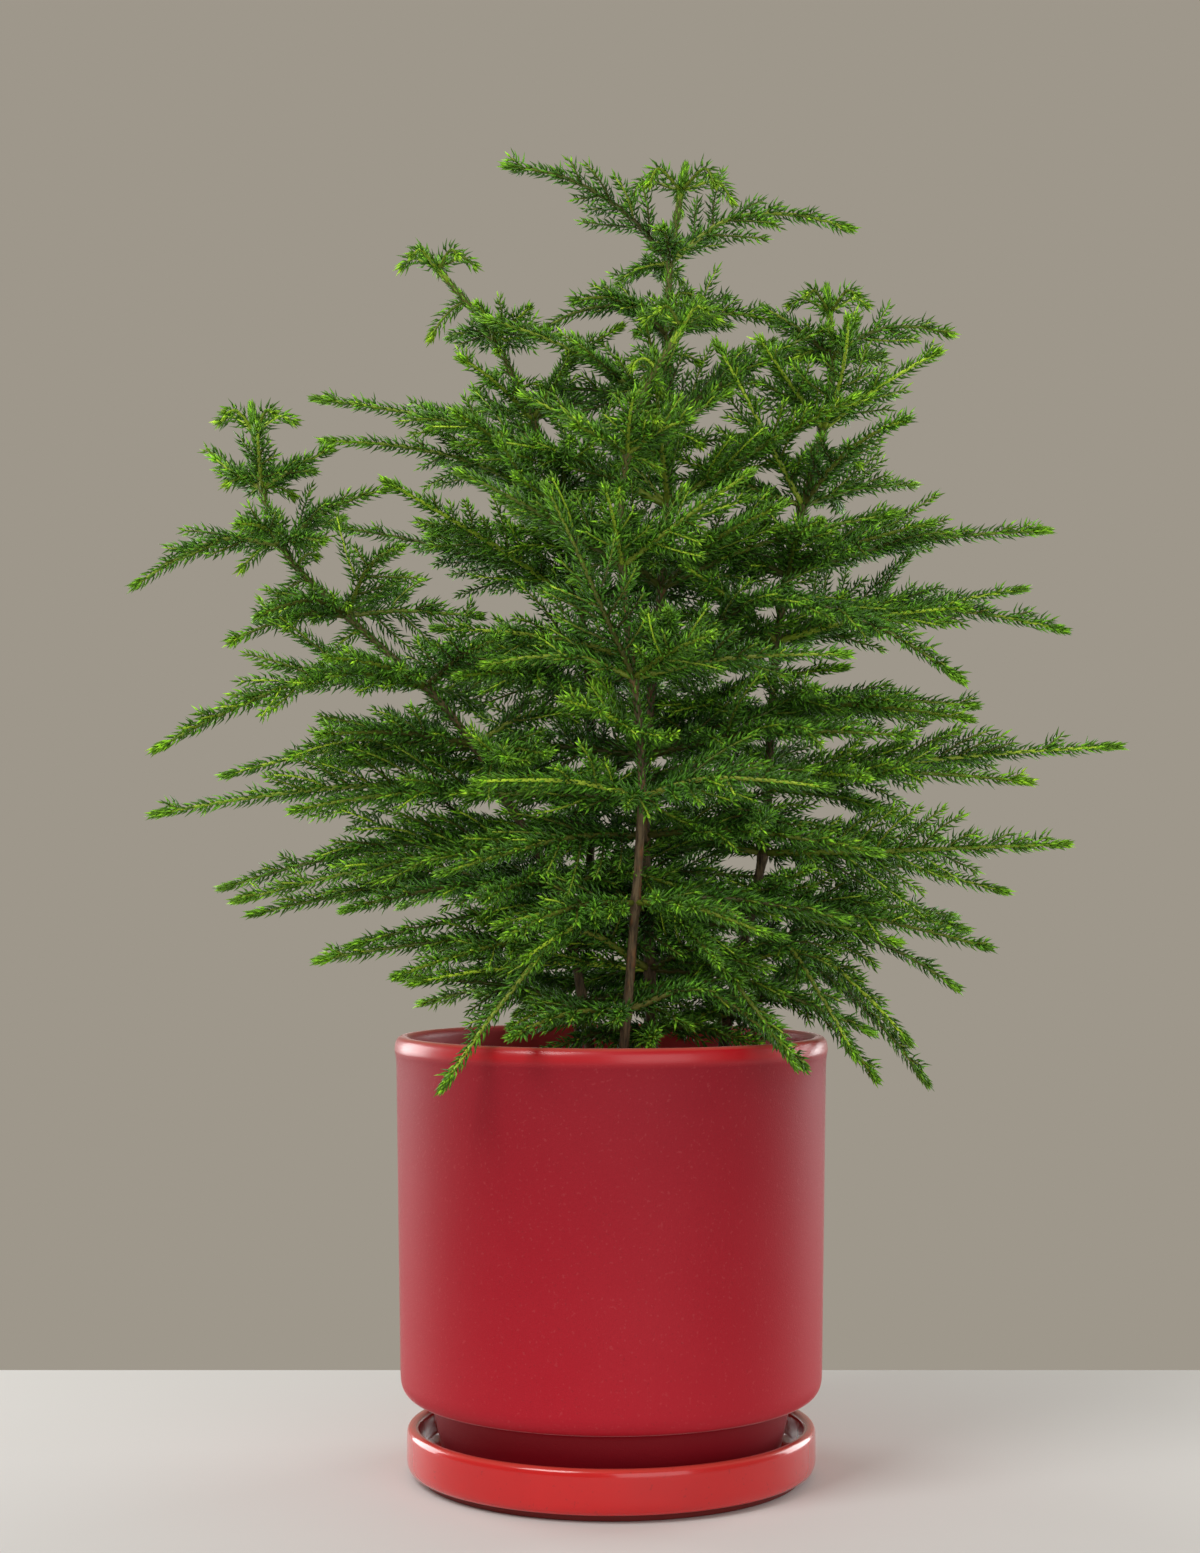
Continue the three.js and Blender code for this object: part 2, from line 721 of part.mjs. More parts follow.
addPiece("saucer", saucer(), FINISH.saucer);
addPiece("pot", pot(), FINISH.pot);
addPiece("drainage_stone", drainageStone(), FINISH.stone);
addPiece("potting_soil", pottingSoil(TREES), FINISH.soil);

const grown = TREES.map((tree) => traced(`trunk_${tree.name}`, tree.curve, TRUNK.room));
const random = seeded(7);
const whorls = TREES.flatMap((tree) => tree.whorls.map((plan, i) => whorlOf(tree, plan, i + 1)));

for (const tree of TREES) {
  addPiece(`trunk_${tree.name}`, trunk(tree, 0), FINISH.bark);
  addPiece(`leader_${tree.name}`, leader(tree, grown), FINISH.foliage);
}
for (const whorl of whorls) growToldBranches(whorl, grown, random);
for (const whorl of whorls) growOtherBranches(whorl, grown, random);
for (const whorl of whorls) addPiece(whorl.name, whorlSolid(whorl), FINISH.foliage);

export default plant;
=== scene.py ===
"""A mini pine in a pot: five young whorled pines with every needle, their red ceramic pot and
its glazed saucer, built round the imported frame.

Each whorl and leading shoot of the frame gives the lines of its branches. A branch becomes a
flat spray, with a row of branchlets on each side, and each branchlet is set all round with
curved needles. All sizes are in metres.
"""

import math

import bpy
import numpy as np
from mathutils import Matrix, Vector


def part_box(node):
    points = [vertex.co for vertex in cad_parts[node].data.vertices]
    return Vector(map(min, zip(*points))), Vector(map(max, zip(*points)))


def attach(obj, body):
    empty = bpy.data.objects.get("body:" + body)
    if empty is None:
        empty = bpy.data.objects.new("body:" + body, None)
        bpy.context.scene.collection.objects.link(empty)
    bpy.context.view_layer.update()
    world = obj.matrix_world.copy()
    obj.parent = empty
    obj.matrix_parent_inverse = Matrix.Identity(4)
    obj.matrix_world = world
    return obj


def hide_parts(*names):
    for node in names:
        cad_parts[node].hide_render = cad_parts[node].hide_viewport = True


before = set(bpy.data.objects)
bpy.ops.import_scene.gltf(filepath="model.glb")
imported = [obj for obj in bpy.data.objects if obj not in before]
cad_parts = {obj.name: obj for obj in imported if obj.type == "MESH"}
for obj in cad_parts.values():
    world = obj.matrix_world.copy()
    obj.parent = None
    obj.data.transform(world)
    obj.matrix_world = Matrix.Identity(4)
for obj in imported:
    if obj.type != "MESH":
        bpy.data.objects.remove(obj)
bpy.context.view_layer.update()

bl_info = {
    "name": "Mini pine in a pot",
    "version": (1, 0, 0),
    "blender": (4, 5, 0),
    "location": "3D View > Sidebar > Potted Pine",
    "description": "Builds a potted cluster of young whorled pines round its frame",
    "category": "Add Mesh",
}

TREES = ("tall", "left", "right", "back", "front")
UP = np.array([0.0, 0.0, 1.0])
GOLDEN_TURN = math.radians(137.5)
ANY_TURN = 6.3  # radians, just over a whole turn
HIDDEN_ROOM = 0.0004  # left between a buried face and its neighbour

# The frame's solids, as the lines of trunks and branches are read from their corners.
COLLAR_REACH = 0.0066  # every corner of a whorl's collar is nearer to its trunk than this
RING_CORNERS = 4  # corners of one ring of a branch
RING_SIDE = 0.0031  # each of them is nearer to the next than this
TOP_SHOOTS = 5  # the side shoots of each leading shoot
HUB_HEIGHT = 0.0043  # from a trunk's end up to where those shoots meet
ROOT_DEPTH = 0.0015  # from a whorl's middle out to where a branch's line starts
TRUNK_RING_STEP = 0.008  # a trunk's ring lies more than this over the one before
TRUNK_RING_TILT = 0.004  # and its corners are within this height of each other

# A visible trunk. What grows on it is placed along a line of LINE_POINTS points.
TRUNK_SIDES = 20
SWELLING = 0.0007  # at each whorl
SWELLING_REACH = 0.004  # up and down from the whorl
LINE_POINTS = 400
NEEDLES_FROM = 190
SHOOTS = (9, 290, 392)  # how many side shoots, and between which points
SHOOT_REACH = (0.016, 0.026)
SHOOT_DROOP = (0.5, 0.9)  # shares of its reach

# A needle. Its lean is measured in degrees from the twig, as usual value and spread.
LEAST_NEEDLES = 8  # on any twig
LOWER_LEAN = (62, 7)
UPPER_LEAN = (34, 8)
CLOSING = 0.6  # share of the lean that is lost at the twig's end
BELLY = 0.42  # share of the length at which a needle is widest
SHORTENING = 0.25  # share of the length that is lost at the twig's end
NEEDLE_LENGTHS = (0.74, 1.06)  # shares of the usual length
NEEDLE_WIDTHS = (0.85, 1.15)
OFF_TWIG = np.array([0.31, 0.27, 0.91])  # a direction that no twig has

# A spray. Lengths are in metres and the rest are shares of the branch's length.
PATH_POINTS = 34
TIP_ROOM = 0.005  # left at the tip for the brush of needles
BARE = (0.1, 0.012)  # next to the trunk: share of the length, and the most
FREE_ENDS = (0.75, 1.15)  # shares of the usual free end
FREE_MOST = 0.5
ROW_LONGEST = 0.36  # longest branchlet as a share of the branch
ROW_SHAPE = (0.55, 0.35, 0.62)  # size at the trunk, place of the longest, loss at the end
LEAN = (60, 18, 4)  # a branchlet's degrees at the trunk, less at the tip, and spread
LIFT = (0.1, 0.2, 0.14)  # its rise over the spray when old, more when young, and spread
FORWARD = 0.3  # how far it curves towards the branch's tip
DROOP = (-0.22, 0.5, 0.12)  # how far its end rises when old, more when young, and spread
STUB_SPACING = 0.011
STUB_CHANCE = 0.42
STUB_LENGTHS = (0.004, 0.011)
BRUSH_POINTS = 3  # of the path, at its tip


def srgb(red, green, blue):
    """A colour given in display values from 0 to 255, as linear light."""
    shares = [value / 255 for value in (red, green, blue)]
    return tuple(c / 12.92 if c <= 0.04045 else ((c + 0.055) / 1.055) ** 2.4 for c in shares)


# ---- settings


def length_setting(name, default, description):
    return bpy.props.FloatProperty(
        name=name, description=description, default=default, min=0, unit="LENGTH", precision=4
    )


def number_setting(name, default, description):
    return bpy.props.FloatProperty(name=name, description=description, default=default, min=0)


def colour_setting(name, default, description):
    return bpy.props.FloatVectorProperty(
        name=name, description=description, default=default, size=3, min=0, max=1, subtype="COLOR"
    )


class PineSettings(bpy.types.PropertyGroup):
    """Sizes and colours of the trees"""

    needle_length: length_setting("Needle length", 0.0082, "Longest needle")
    needle_width: length_setting("Needle width", 0.00125, "Widest place of a needle")
    needle_density: number_setting("Needle density", 1750, "Needles on a metre of twig")
    branchlet_spacing: length_setting("Branchlet spacing", 0.0108, "Along one side of a branch")
    branchlet_length: length_setting("Branchlet length", 0.044, "Longest branchlet")
    free_end: length_setting("Free end", 0.07, "Outer length of a branch with hardly a branchlet")
    old_green: colour_setting("Old needle", srgb(62, 114, 26), "Needles near the trunk")
    green: colour_setting("Needle", srgb(88, 140, 26), "Grown needles")
    young_green: colour_setting("Young needle", srgb(124, 178, 30), "This year's needles")
    tip_green: colour_setting("Needle tips", srgb(176, 210, 52), "The newest tips")
    twig_brown: colour_setting("Old twig", srgb(92, 92, 40), "Twigs near the trunk")
    twig_green: colour_setting("Young twig", srgb(150, 178, 46), "Twigs near the tips")
    bark: colour_setting("Bark", srgb(118, 100, 74), "Ridges of the bark")
    bark_dark: colour_setting("Bark grooves", srgb(58, 46, 34), "Grooves of the bark")
    bark_tan: colour_setting("Bark flakes", srgb(168, 106, 60), "Thin flakes of young bark")


class WareSettings(bpy.types.PropertyGroup):
    """Sizes and colours of the pot, the saucer and what fills them"""

    wall: length_setting("Pot wall", 0.007, "Thickness of the pot's wall")
    foot_height: length_setting("Foot height", 0.037, "Height of the body's underside")
    foot_top_radius: length_setting("Foot top radius", 0.087, "Foot where it meets the body")
    foot_radius: length_setting("Foot radius", 0.0805, "Foot where it stands")
    drain_radius: length_setting("Drain hole", 0.011, "Radius of the drain hole")
    saucer_wall: length_setting("Saucer wall", 0.006, "Thickness of the saucer's rim")
    saucer_floor: length_setting("Saucer floor", 0.008, "Height of the saucer's inside floor")
    # Painted light and shade: the Pot colour is darker for the plant's shade on the upper pot,
    # and the Lower pot colour is lighter for light bounced from the table.
    pot_red_painted_shade: colour_setting("Pot", srgb(142, 0, 26), "Matt body of the pot under the lip")
    pot_red_painted_light: colour_setting("Lower pot", srgb(178, 8, 34), "Matt body of the pot low down")
    # Painted shade: the recessed foot is darker where the pot's body shades it.
    foot_red_painted_shade: colour_setting("Pot foot", srgb(136, 0, 22), "Recessed foot of the pot")
    # Painted light: the inner wall is paler to stand in for light falling into the pot.
    inner_red_painted_light: colour_setting("Inner wall", srgb(226, 70, 84), "Inner wall of the pot")
    lip_red: colour_setting("Pot lip", srgb(180, 4, 24), "Glossy lip of the pot")
    saucer_red: colour_setting("Saucer", srgb(208, 10, 14), "Glossy glaze of the saucer")
    # Partly painted highlight: this pale colour stands for glaze thinned on an edge and for light
    # catching the rim.
    worn_glaze_and_highlight: colour_setting("Worn glaze", srgb(214, 120, 104), "Where the glaze thins on an edge")
    soil: colour_setting("Potting mix", srgb(52, 38, 30), "Dark crumbs of the potting mix")
    soil_bits: colour_setting("Bark bits", srgb(122, 88, 60), "Bits of bark in the potting mix")


class StageSettings(bpy.types.PropertyGroup):
    """Table, background and light"""

    table: colour_setting("Table", srgb(220, 221, 221), "Pale table top")
    wall: colour_setting("Background", srgb(158, 151, 139), "Soft background")
    key_power: number_setting("Key light", 30, "Watts")
    fill_power: number_setting("Fill light", 10, "Watts")
    side_power: number_setting("Side lights", 13, "Watts")


# ---- materials


class Value:
    """A number that varies over a surface. A sum with it adds the Math node it needs."""

    def __init__(self, paint, socket):
        self.paint = paint
        self.socket = socket

    def math(self, operation, *others, clamp=False):
        return self.paint.math(operation, self, *others, clamp=clamp)

    def __add__(self, other):
        return self.math("ADD", other)

    def __sub__(self, other):
        return self.math("SUBTRACT", other)

    def __mul__(self, other):
        return self.math("MULTIPLY", other)

    def __pow__(self, other):
        return self.math("POWER", other)

    def __rsub__(self, other):
        return self.paint.math("SUBTRACT", other, self)

    __radd__ = __add__

    def between(self, low, high):
        """0 below low, 1 above high and an even rise between them."""
        return self.paint.math("MULTIPLY", self - low, 1 / (high - low), clamp=True)


class Paint:
    """A material on one Principled shader, and the nodes that feed it."""

    def __init__(self, name, **sockets):
        self.material = bpy.data.materials.new(name)
        self.material.use_nodes = True
        self.tree = self.material.node_tree
        self.shader = self.tree.nodes["Principled BSDF"]
        self.set(**sockets)

    def set(self, **sockets):
        """Sets the shader's sockets. Base_Color stands for Base Color."""
        for name, value in sockets.items():
            self.join(self.shader.inputs[name.replace("_", " ")], value)

    def join(self, socket, value):
        if isinstance(value, Value):
            value = value.socket
        if isinstance(value, bpy.types.NodeSocket):
            self.tree.links.new(value, socket)
        elif socket.type == "RGBA":
            socket.default_value = (*value, 1)
        else:
            socket.default_value = value

    def node(self, kind, settings=None, inputs=None):
        """Adds a node of any kind, its settings first, then its sockets by name or number."""
        node = self.tree.nodes.new(kind)
        for name, value in (settings or {}).items():
            setattr(node, name, value)
        for name, value in (inputs or {}).items():
            self.join(node.inputs[name], value)
        return node

    def math(self, operation, *values, clamp=False):
        inputs = dict(enumerate(values))
        node = self.node("ShaderNodeMath", {"operation": operation, "use_clamp": clamp}, inputs)
        return Value(self, node.outputs[0])

    def mark(self, name):
        """A number that the piece's mesh carries at each point."""
        node = self.node("ShaderNodeAttribute", {"attribute_name": name})
        return Value(self, node.outputs["Fac"])

    def place(self):
        """The point's place on the object, as a vector."""
        return self.node("ShaderNodeTexCoord").outputs["Object"]

    def height(self):
        split = self.node("ShaderNodeSeparateXYZ", None, {"Vector": self.place()})
        return Value(self, split.outputs["Z"])

    def flat_place(self):
        """The point's place with its height taken out."""
        inputs = {0: self.place(), 1: (1, 1, 0)}
        return self.node("ShaderNodeVectorMath", {"operation": "MULTIPLY"}, inputs).outputs[0]

    def noise(self, scale, detail=3.0, roughness=0.55, vector=None):
        inputs = {"Vector": vector or self.place(), "Scale": scale}
        inputs |= {"Detail": detail, "Roughness": roughness}
        return Value(self, self.node("ShaderNodeTexNoise", None, inputs).outputs["Fac"])

    def cells(self, scale, vector=None):
        inputs = {"Vector": vector or self.place(), "Scale": scale}
        return Value(self, self.node("ShaderNodeTexVoronoi", None, inputs).outputs["Distance"])

    def stretched(self, amounts):
        """Object coordinates stretched by an amount along each axis."""
        inputs = {"Vector": self.place(), "Scale": amounts}
        return self.node("ShaderNodeMapping", None, inputs).outputs["Vector"]

    def mix(self, share, first, second, blend="MIX"):
        settings = {"data_type": "RGBA", "blend_type": blend}
        node = self.node("ShaderNodeMix", settings, {"Factor": share, 6: first, 7: second})
        return node.outputs[2]

    def bump(self, height, depth, strength=1.0):
        inputs = {"Height": height, "Distance": depth, "Strength": strength}
        self.set(Normal=self.node("ShaderNodeBump", None, inputs).outputs["Normal"])


def foliage_paint(colours):
    """Needles and twigs: yellow-green where the growth is new, dark where it is old, a
    little different from needle to needle, and brown on old twigs, all scaled by a painted
    highlight and shade that differs from needle to needle."""
    paint = Paint("pine_foliage", Specular_IOR_Level=0.4)
    youth = paint.mark("youth")
    chance = paint.mark("chance")
    drift = paint.noise(26, 2) - 0.5
    age = youth + drift * 0.3 + (chance - 0.5) * 0.16
    needle = paint.mix(age.between(0.05, 0.5), colours.old_green, colours.green)
    needle = paint.mix(age.between(0.5, 0.85), needle, colours.young_green)
    needle = paint.mix(age.between(0.85, 1.15), needle, colours.tip_green)
    twig = paint.mix(age.between(0.1, 0.5), colours.twig_brown, colours.twig_green)
    colour = paint.mix(paint.mark("wood"), needle, twig)
    # Painted highlight and shade: each needle's colour is scaled by a random brightness from 0.64
    # to 2.24, standing in for light catching some needles and shade on others.
    shade = paint.math("ADD", chance**3 * 1.6, 0.64)
    painted_needle_light = paint.node("ShaderNodeCombineColor", None, {0: shade, 1: shade, 2: shade})
    paint.set(Base_Color=paint.mix(1.0, colour, painted_needle_light.outputs[0], "MULTIPLY"))
    paint.set(Roughness=0.4 + chance * 0.16)
    return paint.material


def bark_paint(colours):
    """Thin bark with long grooves, old leaf scars, and tan flakes lower down."""
    paint = Paint("pine_bark", Specular_IOR_Level=0.3)
    grooves = paint.noise(1.0, 4, 0.62, paint.stretched((900, 900, 120)))
    scars = paint.cells(1.0, paint.stretched((420, 420, 260)))
    flakes = paint.noise(1.0, 3, 0.6, paint.stretched((260, 260, 90))).between(0.56, 0.7)
    colour = paint.mix(grooves.between(0.35, 0.62), colours.bark_dark, colours.bark)
    colour = paint.mix(flakes * 0.4, colour, colours.bark_tan)
    green = paint.mark("youth").between(0.5, 1.0)
    colour = paint.mix(green * 0.6, colour, srgb(104, 120, 44))
    paint.set(Base_Color=colour, Roughness=0.62 + grooves * 0.3)
    paint.bump(grooves * 0.6 + scars * 0.5, 0.0006, 0.9)
    return paint.material


def pot_paint(colours, top, inner_radius):
    """Fine-grained matt glaze with a soft sheen, glossy on the lip, with painted light and shade:
    darker near the top for the plant's shade, lighter low down for light from the table,
    darker on the recessed foot for its shade, paler on the inner wall for light falling in,
    and a pale painted highlight, partly thinned glaze, along the top edge."""
    paint = Paint("matt_red_glaze", Specular_IOR_Level=0.32, Coat_Roughness=0.24)
    paint.set(Sheen_Weight=1.0, Sheen_Roughness=0.13, Sheen_Tint=srgb(255, 222, 222))
    height = paint.height()
    radius = paint.node("ShaderNodeVectorMath", {"operation": "LENGTH"}, {0: paint.flat_place()})
    radius = Value(paint, radius.outputs["Value"])
    lip = height.between(top - 0.009, top - 0.005)
    inside = height.between(0.06, 0.07) * (1 - radius.between(inner_radius, inner_radius + 0.001))
    foot = 1 - height.between(0.036, 0.04)
    grain = paint.noise(1500, 2, 0.7)
    cloud = paint.noise(9, 4, 0.6)
    specks = paint.noise(620, 1, 0.5).between(0.64, 0.74)
    dark = paint.noise(900, 1, 0.5).between(0.66, 0.76)
    # Painted light and shade: lighter low down for light from the table, darker towards the top
    # for the plant's shade.
    colour = paint.mix(height.between(0.04, 0.19), colours.pot_red_painted_light, colours.pot_red_painted_shade)
    colour = paint.mix(cloud.between(0.35, 0.7) * 0.12, colour, srgb(186, 54, 62))
    colour = paint.mix(specks * 0.1, colour, srgb(214, 110, 112))
    colour = paint.mix(dark * 0.25, colour, srgb(112, 18, 28))
    # Painted shade on the recessed foot under the body.
    colour = paint.mix(foot, colour, colours.foot_red_painted_shade)
    colour = paint.mix(lip, colour, colours.lip_red)
    # Painted light on the inner wall.
    colour = paint.mix(inside, colour, colours.inner_red_painted_light)
    # Pale top edge: partly thinned glaze, partly painted highlight.
    edge = height.between(top - 0.0014, top - 0.0001)
    colour = paint.mix(edge * 0.5, colour, colours.worn_glaze_and_highlight)
    paint.set(Base_Color=colour, Coat_Weight=lip * (1 - inside) * 0.55)
    paint.set(Roughness=(0.56 + grain * 0.12) * (1 - lip * 0.35))
    paint.bump(grain * (1 - lip * 0.85), 0.0003, 0.35)
    return paint.material


def saucer_paint(colours, top):
    """Glossy glaze, cloudy and specked, dull on the foot, and pale along the rim, partly where
    the glaze thins and partly as a painted highlight.
    """
    paint = Paint("glossy_red_glaze", Specular_IOR_Level=0.4, Coat_Roughness=0.09)
    height = paint.height()
    cloud = paint.noise(14, 4, 0.6)
    rim = height.between(top - 0.0016, top - 0.0002)
    foot = 1 - height.between(0.0026, 0.0042)
    colour = paint.mix(cloud.between(0.3, 0.7) * 0.3, colours.saucer_red, srgb(150, 14, 22))
    # Pale rim: partly thinned glaze, partly painted highlight.
    colour = paint.mix(rim * 0.3, colour, colours.worn_glaze_and_highlight)
    colour = paint.mix(foot, colour, srgb(112, 30, 28))
    specks = paint.noise(500, 1, 0.5).between(0.68, 0.76)
    colour = paint.mix(specks * 0.25, colour, srgb(96, 14, 20))
    paint.set(Base_Color=colour, Coat_Weight=(1 - foot) * 0.6)
    paint.set(Roughness=0.2 + foot * 0.5 + cloud * 0.05)
    paint.bump(cloud, 0.0004, 0.3)
    return paint.material


def soil_paint(colours):
    """Dark crumbly mix with lighter bits of bark."""
    paint = Paint("potting_mix", Specular_IOR_Level=0.25)
    crumbs = paint.noise(420, 5, 0.7)
    damp = paint.noise(24, 3, 0.5)
    colour = paint.mix(crumbs.between(0.3, 0.75), srgb(26, 19, 15), colours.soil)
    colour = paint.mix(damp.between(0.5, 0.75) * 0.5, colour, srgb(78, 60, 46))
    colour = paint.mix(paint.mark("bit"), colour, colours.soil_bits)
    paint.set(Base_Color=colour, Roughness=0.82 + crumbs * 0.16)
    paint.bump(crumbs, 0.0012, 0.8)
    return paint.material


def stone_paint():
    """Rough lava stone: dark red-brown with pits and lighter dust."""
    paint = Paint("drainage_stone", Specular_IOR_Level=0.3)
    lumps = paint.cells(95)
    dust = paint.noise(180, 4, 0.65)
    colour = paint.mix(lumps.between(0.1, 0.6), srgb(122, 84, 70), srgb(64, 40, 34))
    colour = paint.mix(dust.between(0.55, 0.8) * 0.5, colour, srgb(160, 130, 112))
    paint.set(Base_Color=colour, Roughness=0.86 + dust * 0.12)
    paint.bump(lumps * -1 + dust * 0.3, 0.003, 0.9)
    return paint.material


def table_paint(colours):
    """Pale painted table top with the faintest unevenness."""
    paint = Paint("table_top", Specular_IOR_Level=0.3)
    cloud = paint.noise(3, 3, 0.5)
    tint = paint.mix(cloud.between(0.3, 0.7) * 0.1, colours.table, srgb(206, 200, 192))
    paint.set(Base_Color=tint, Roughness=0.62 + cloud * 0.06)
    return paint.material


# ---- surfaces


def unit(vectors):
    """Vectors scaled to length one."""
    return vectors / np.maximum(np.linalg.norm(vectors, axis=-1, keepdims=True), 1e-12)


def step_at(at, count):
    """Which step of a path of count points each place is on, and how far along it."""
    i = np.minimum(at.astype(int), count - 2)
    return i, (at - i)[:, None]


def smooth_path(points, count):
    """A Catmull-Rom curve at even steps: between two points it is the cubic whose slope at
    each of them is half the chord between that point's neighbours."""
    ends = (2 * points[0] - points[1], 2 * points[-1] - points[-2])
    line = np.vstack([ends[0], points, ends[1]])
    i, u = step_at(np.linspace(0, len(points) - 1, count), len(points))
    a, b, c, d = (line[i + k] for k in range(4))
    return b + 0.5 * u * (c - a + u * (2 * a - 5 * b + 4 * c - d + u * (3 * b - a - 3 * c + d)))


def walls(rings, sides):
    """The faces between each ring of corners and the next."""
    row = np.arange(rings - 1)[:, None] * sides
    k = np.arange(sides)
    a, b = row + k, row + (k + 1) % sides
    return np.stack([a, b, b + sides, a, b + sides, a + sides], axis=-1).reshape(-1, 3)


def turned(profile, sides):
    """A profile of (radius, height) rows carried round the Z axis. A first or last row with
    radius 0 closes it at a point, and any other profile ends where it began."""
    profile = np.asarray(profile, float)
    turn = np.linspace(0, 2 * math.pi, sides, endpoint=False)
    ring = np.stack([np.cos(turn), np.sin(turn)], axis=1)
    points = np.empty((len(profile), sides, 3))
    points[:, :, :2] = profile[:, None, :1] * ring[None]
    points[:, :, 2] = profile[:, 1:]
    return points.reshape(-1, 3), walls(len(profile), sides)


def tube(paths, radii, sides):
    """Round tubes: a ring square to each path at each of its points, closed by a pole at
    each end. paths is (tubes, points, 3) and radii is (tubes, points)."""
    many, steps, _ = paths.shape
    along = unit(np.gradient(paths, axis=1))
    steep = np.abs(along[:, :, 2]).mean(axis=1) > 0.8
    reference = np.where(steep[:, None], np.array([0.0, 1.0, 0.0]), UP)[:, None]
    side = unit(np.cross(along, reference))
    over = np.cross(along, side)
    turn = np.linspace(0, 2 * math.pi, sides, endpoint=False)[:, None]
    spokes = np.cos(turn) * side[:, :, None] + np.sin(turn) * over[:, :, None]
    rings = paths[:, :, None] + radii[:, :, None, None] * spokes
    ends = paths[:, [0, -1]]
    points = np.concatenate([rings.reshape(many, -1, 3), ends], axis=1)
    k = np.arange(sides)
    following = (k + 1) % sides
    start = np.stack([following, k, np.full(sides, steps * sides)], axis=1)
    last = (steps - 1) * sides
    end = np.stack([last + k, last + following, np.full(sides, steps * sides + 1)], axis=1)
    pattern = np.vstack([walls(steps, sides), start, end])
    faces = np.arange(many)[:, None, None] * points.shape[1] + pattern
    return points, faces.reshape(-1, 3)


def path_frame(path, tilt):
    """Along a branch, flat across it and over it at each point, rolled by the tilt."""
    along = unit(np.gradient(path, axis=0))
    flat = unit(np.cross(along, UP))
    over = np.cross(flat, along)
    turned_flat = math.cos(tilt) * flat + math.sin(tilt) * over
    return along, turned_flat, math.cos(tilt) * over - math.sin(tilt) * flat


def corners(node):
    """The corner points of a node of the frame, each once."""
    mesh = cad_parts[node].data
    points = np.empty(len(mesh.vertices) * 3)
    mesh.vertices.foreach_get("co", points)
    return np.unique(points.reshape(-1, 3).round(5), axis=0)


def trunk_line(tree):
    """The middle of each ring of the tree's trunk, from the root up. The rings are found
    by height, because each lies well over the one before."""
    points = corners(f"trunk_{tree}")
    points = points[np.argsort(points[:, 2])]
    cuts = np.nonzero(np.diff(points[:, 2]) > TRUNK_RING_STEP)[0] + 1
    return np.array([ring.mean(axis=0) for ring in np.split(points, cuts)])


def trunk_ends(tree):
    """The corners of the trunk's lowest ring and of its highest."""
    points = corners(f"trunk_{tree}")
    heights = points[:, 2]
    first = points[heights < heights.min() + 2 * TRUNK_RING_TILT]
    return first, points[heights > heights.max() - TRUNK_RING_TILT]


def top_heading(tree):
    """The direction in which the trunk ends: square to its last ring of corners."""
    ring = trunk_ends(tree)[1]
    normal = np.linalg.svd(ring - ring.mean(axis=0))[2][-1]
    return normal * np.sign(normal[2])


def ring_centres(points):
    """Groups corners in touch with each other into rings and gives the rings' middles,
    largest ring first."""
    near = np.linalg.norm(points[:, None] - points, axis=2) < RING_SIDE
    ring = np.arange(len(points))
    for _ in range(3):
        ring = np.where(near, ring, len(points)).min(axis=1)
    ring = np.unique(ring, return_inverse=True)[1]
    members = np.bincount(ring)[:, None]
    centres = np.stack([np.bincount(ring, points[:, axis]) for axis in range(3)], 1) / members
    size = np.zeros(len(centres))
    np.maximum.at(size, ring, np.linalg.norm(points - centres[ring], axis=1))
    return centres[np.argsort(-size)]


def branch_lines(node, stem, hub=None):
    """The lines of a node's branches from the trunk out, as (branches, points, 3) points.
    A whorl's branch has three rings of four corners outside the collar, and each ring is
    smaller than the one before it. A leading shoot's hub is given, and only the outer two
    rings of its five shoots are read, because the inner ones touch. The rings are put in
    order by size, and each tip takes the ring nearest to its own straight line."""
    points = corners(node)
    if hub is None:
        off = np.linalg.norm(points[:, None] - stem, axis=2).min(axis=1)
        hub = points[off < COLLAR_REACH].mean(axis=0)
        hub = stem[np.linalg.norm(stem - hub, axis=1).argmin()]
        points, sections = points[off > COLLAR_REACH], 3
    else:
        off = np.linalg.norm((points - hub)[:, :2], axis=1)
        points, sections = points[np.argsort(off)[-2 * RING_CORNERS * TOP_SHOOTS :]], 2
    centres = ring_centres(points)
    if len(centres) % sections:
        raise RuntimeError(f"{node} has {len(centres)} rings, not {sections} to a branch")
    *inner, tips = centres.reshape(sections, -1, 3)
    rows = [tips]
    for place in range(sections - 1, 0, -1):
        guess = hub + (tips - hub) * (place + 3 - sections) / 3
        gap = np.linalg.norm((guess[:, None] - inner[place - 1])[:, :, :2], axis=2)
        rows.insert(0, inner[place - 1][gap.argmin(axis=1)])
    roots = hub + unit(rows[0] - hub) * ROOT_DEPTH
    return np.stack([roots, *rows], axis=1)


# ---- foliage


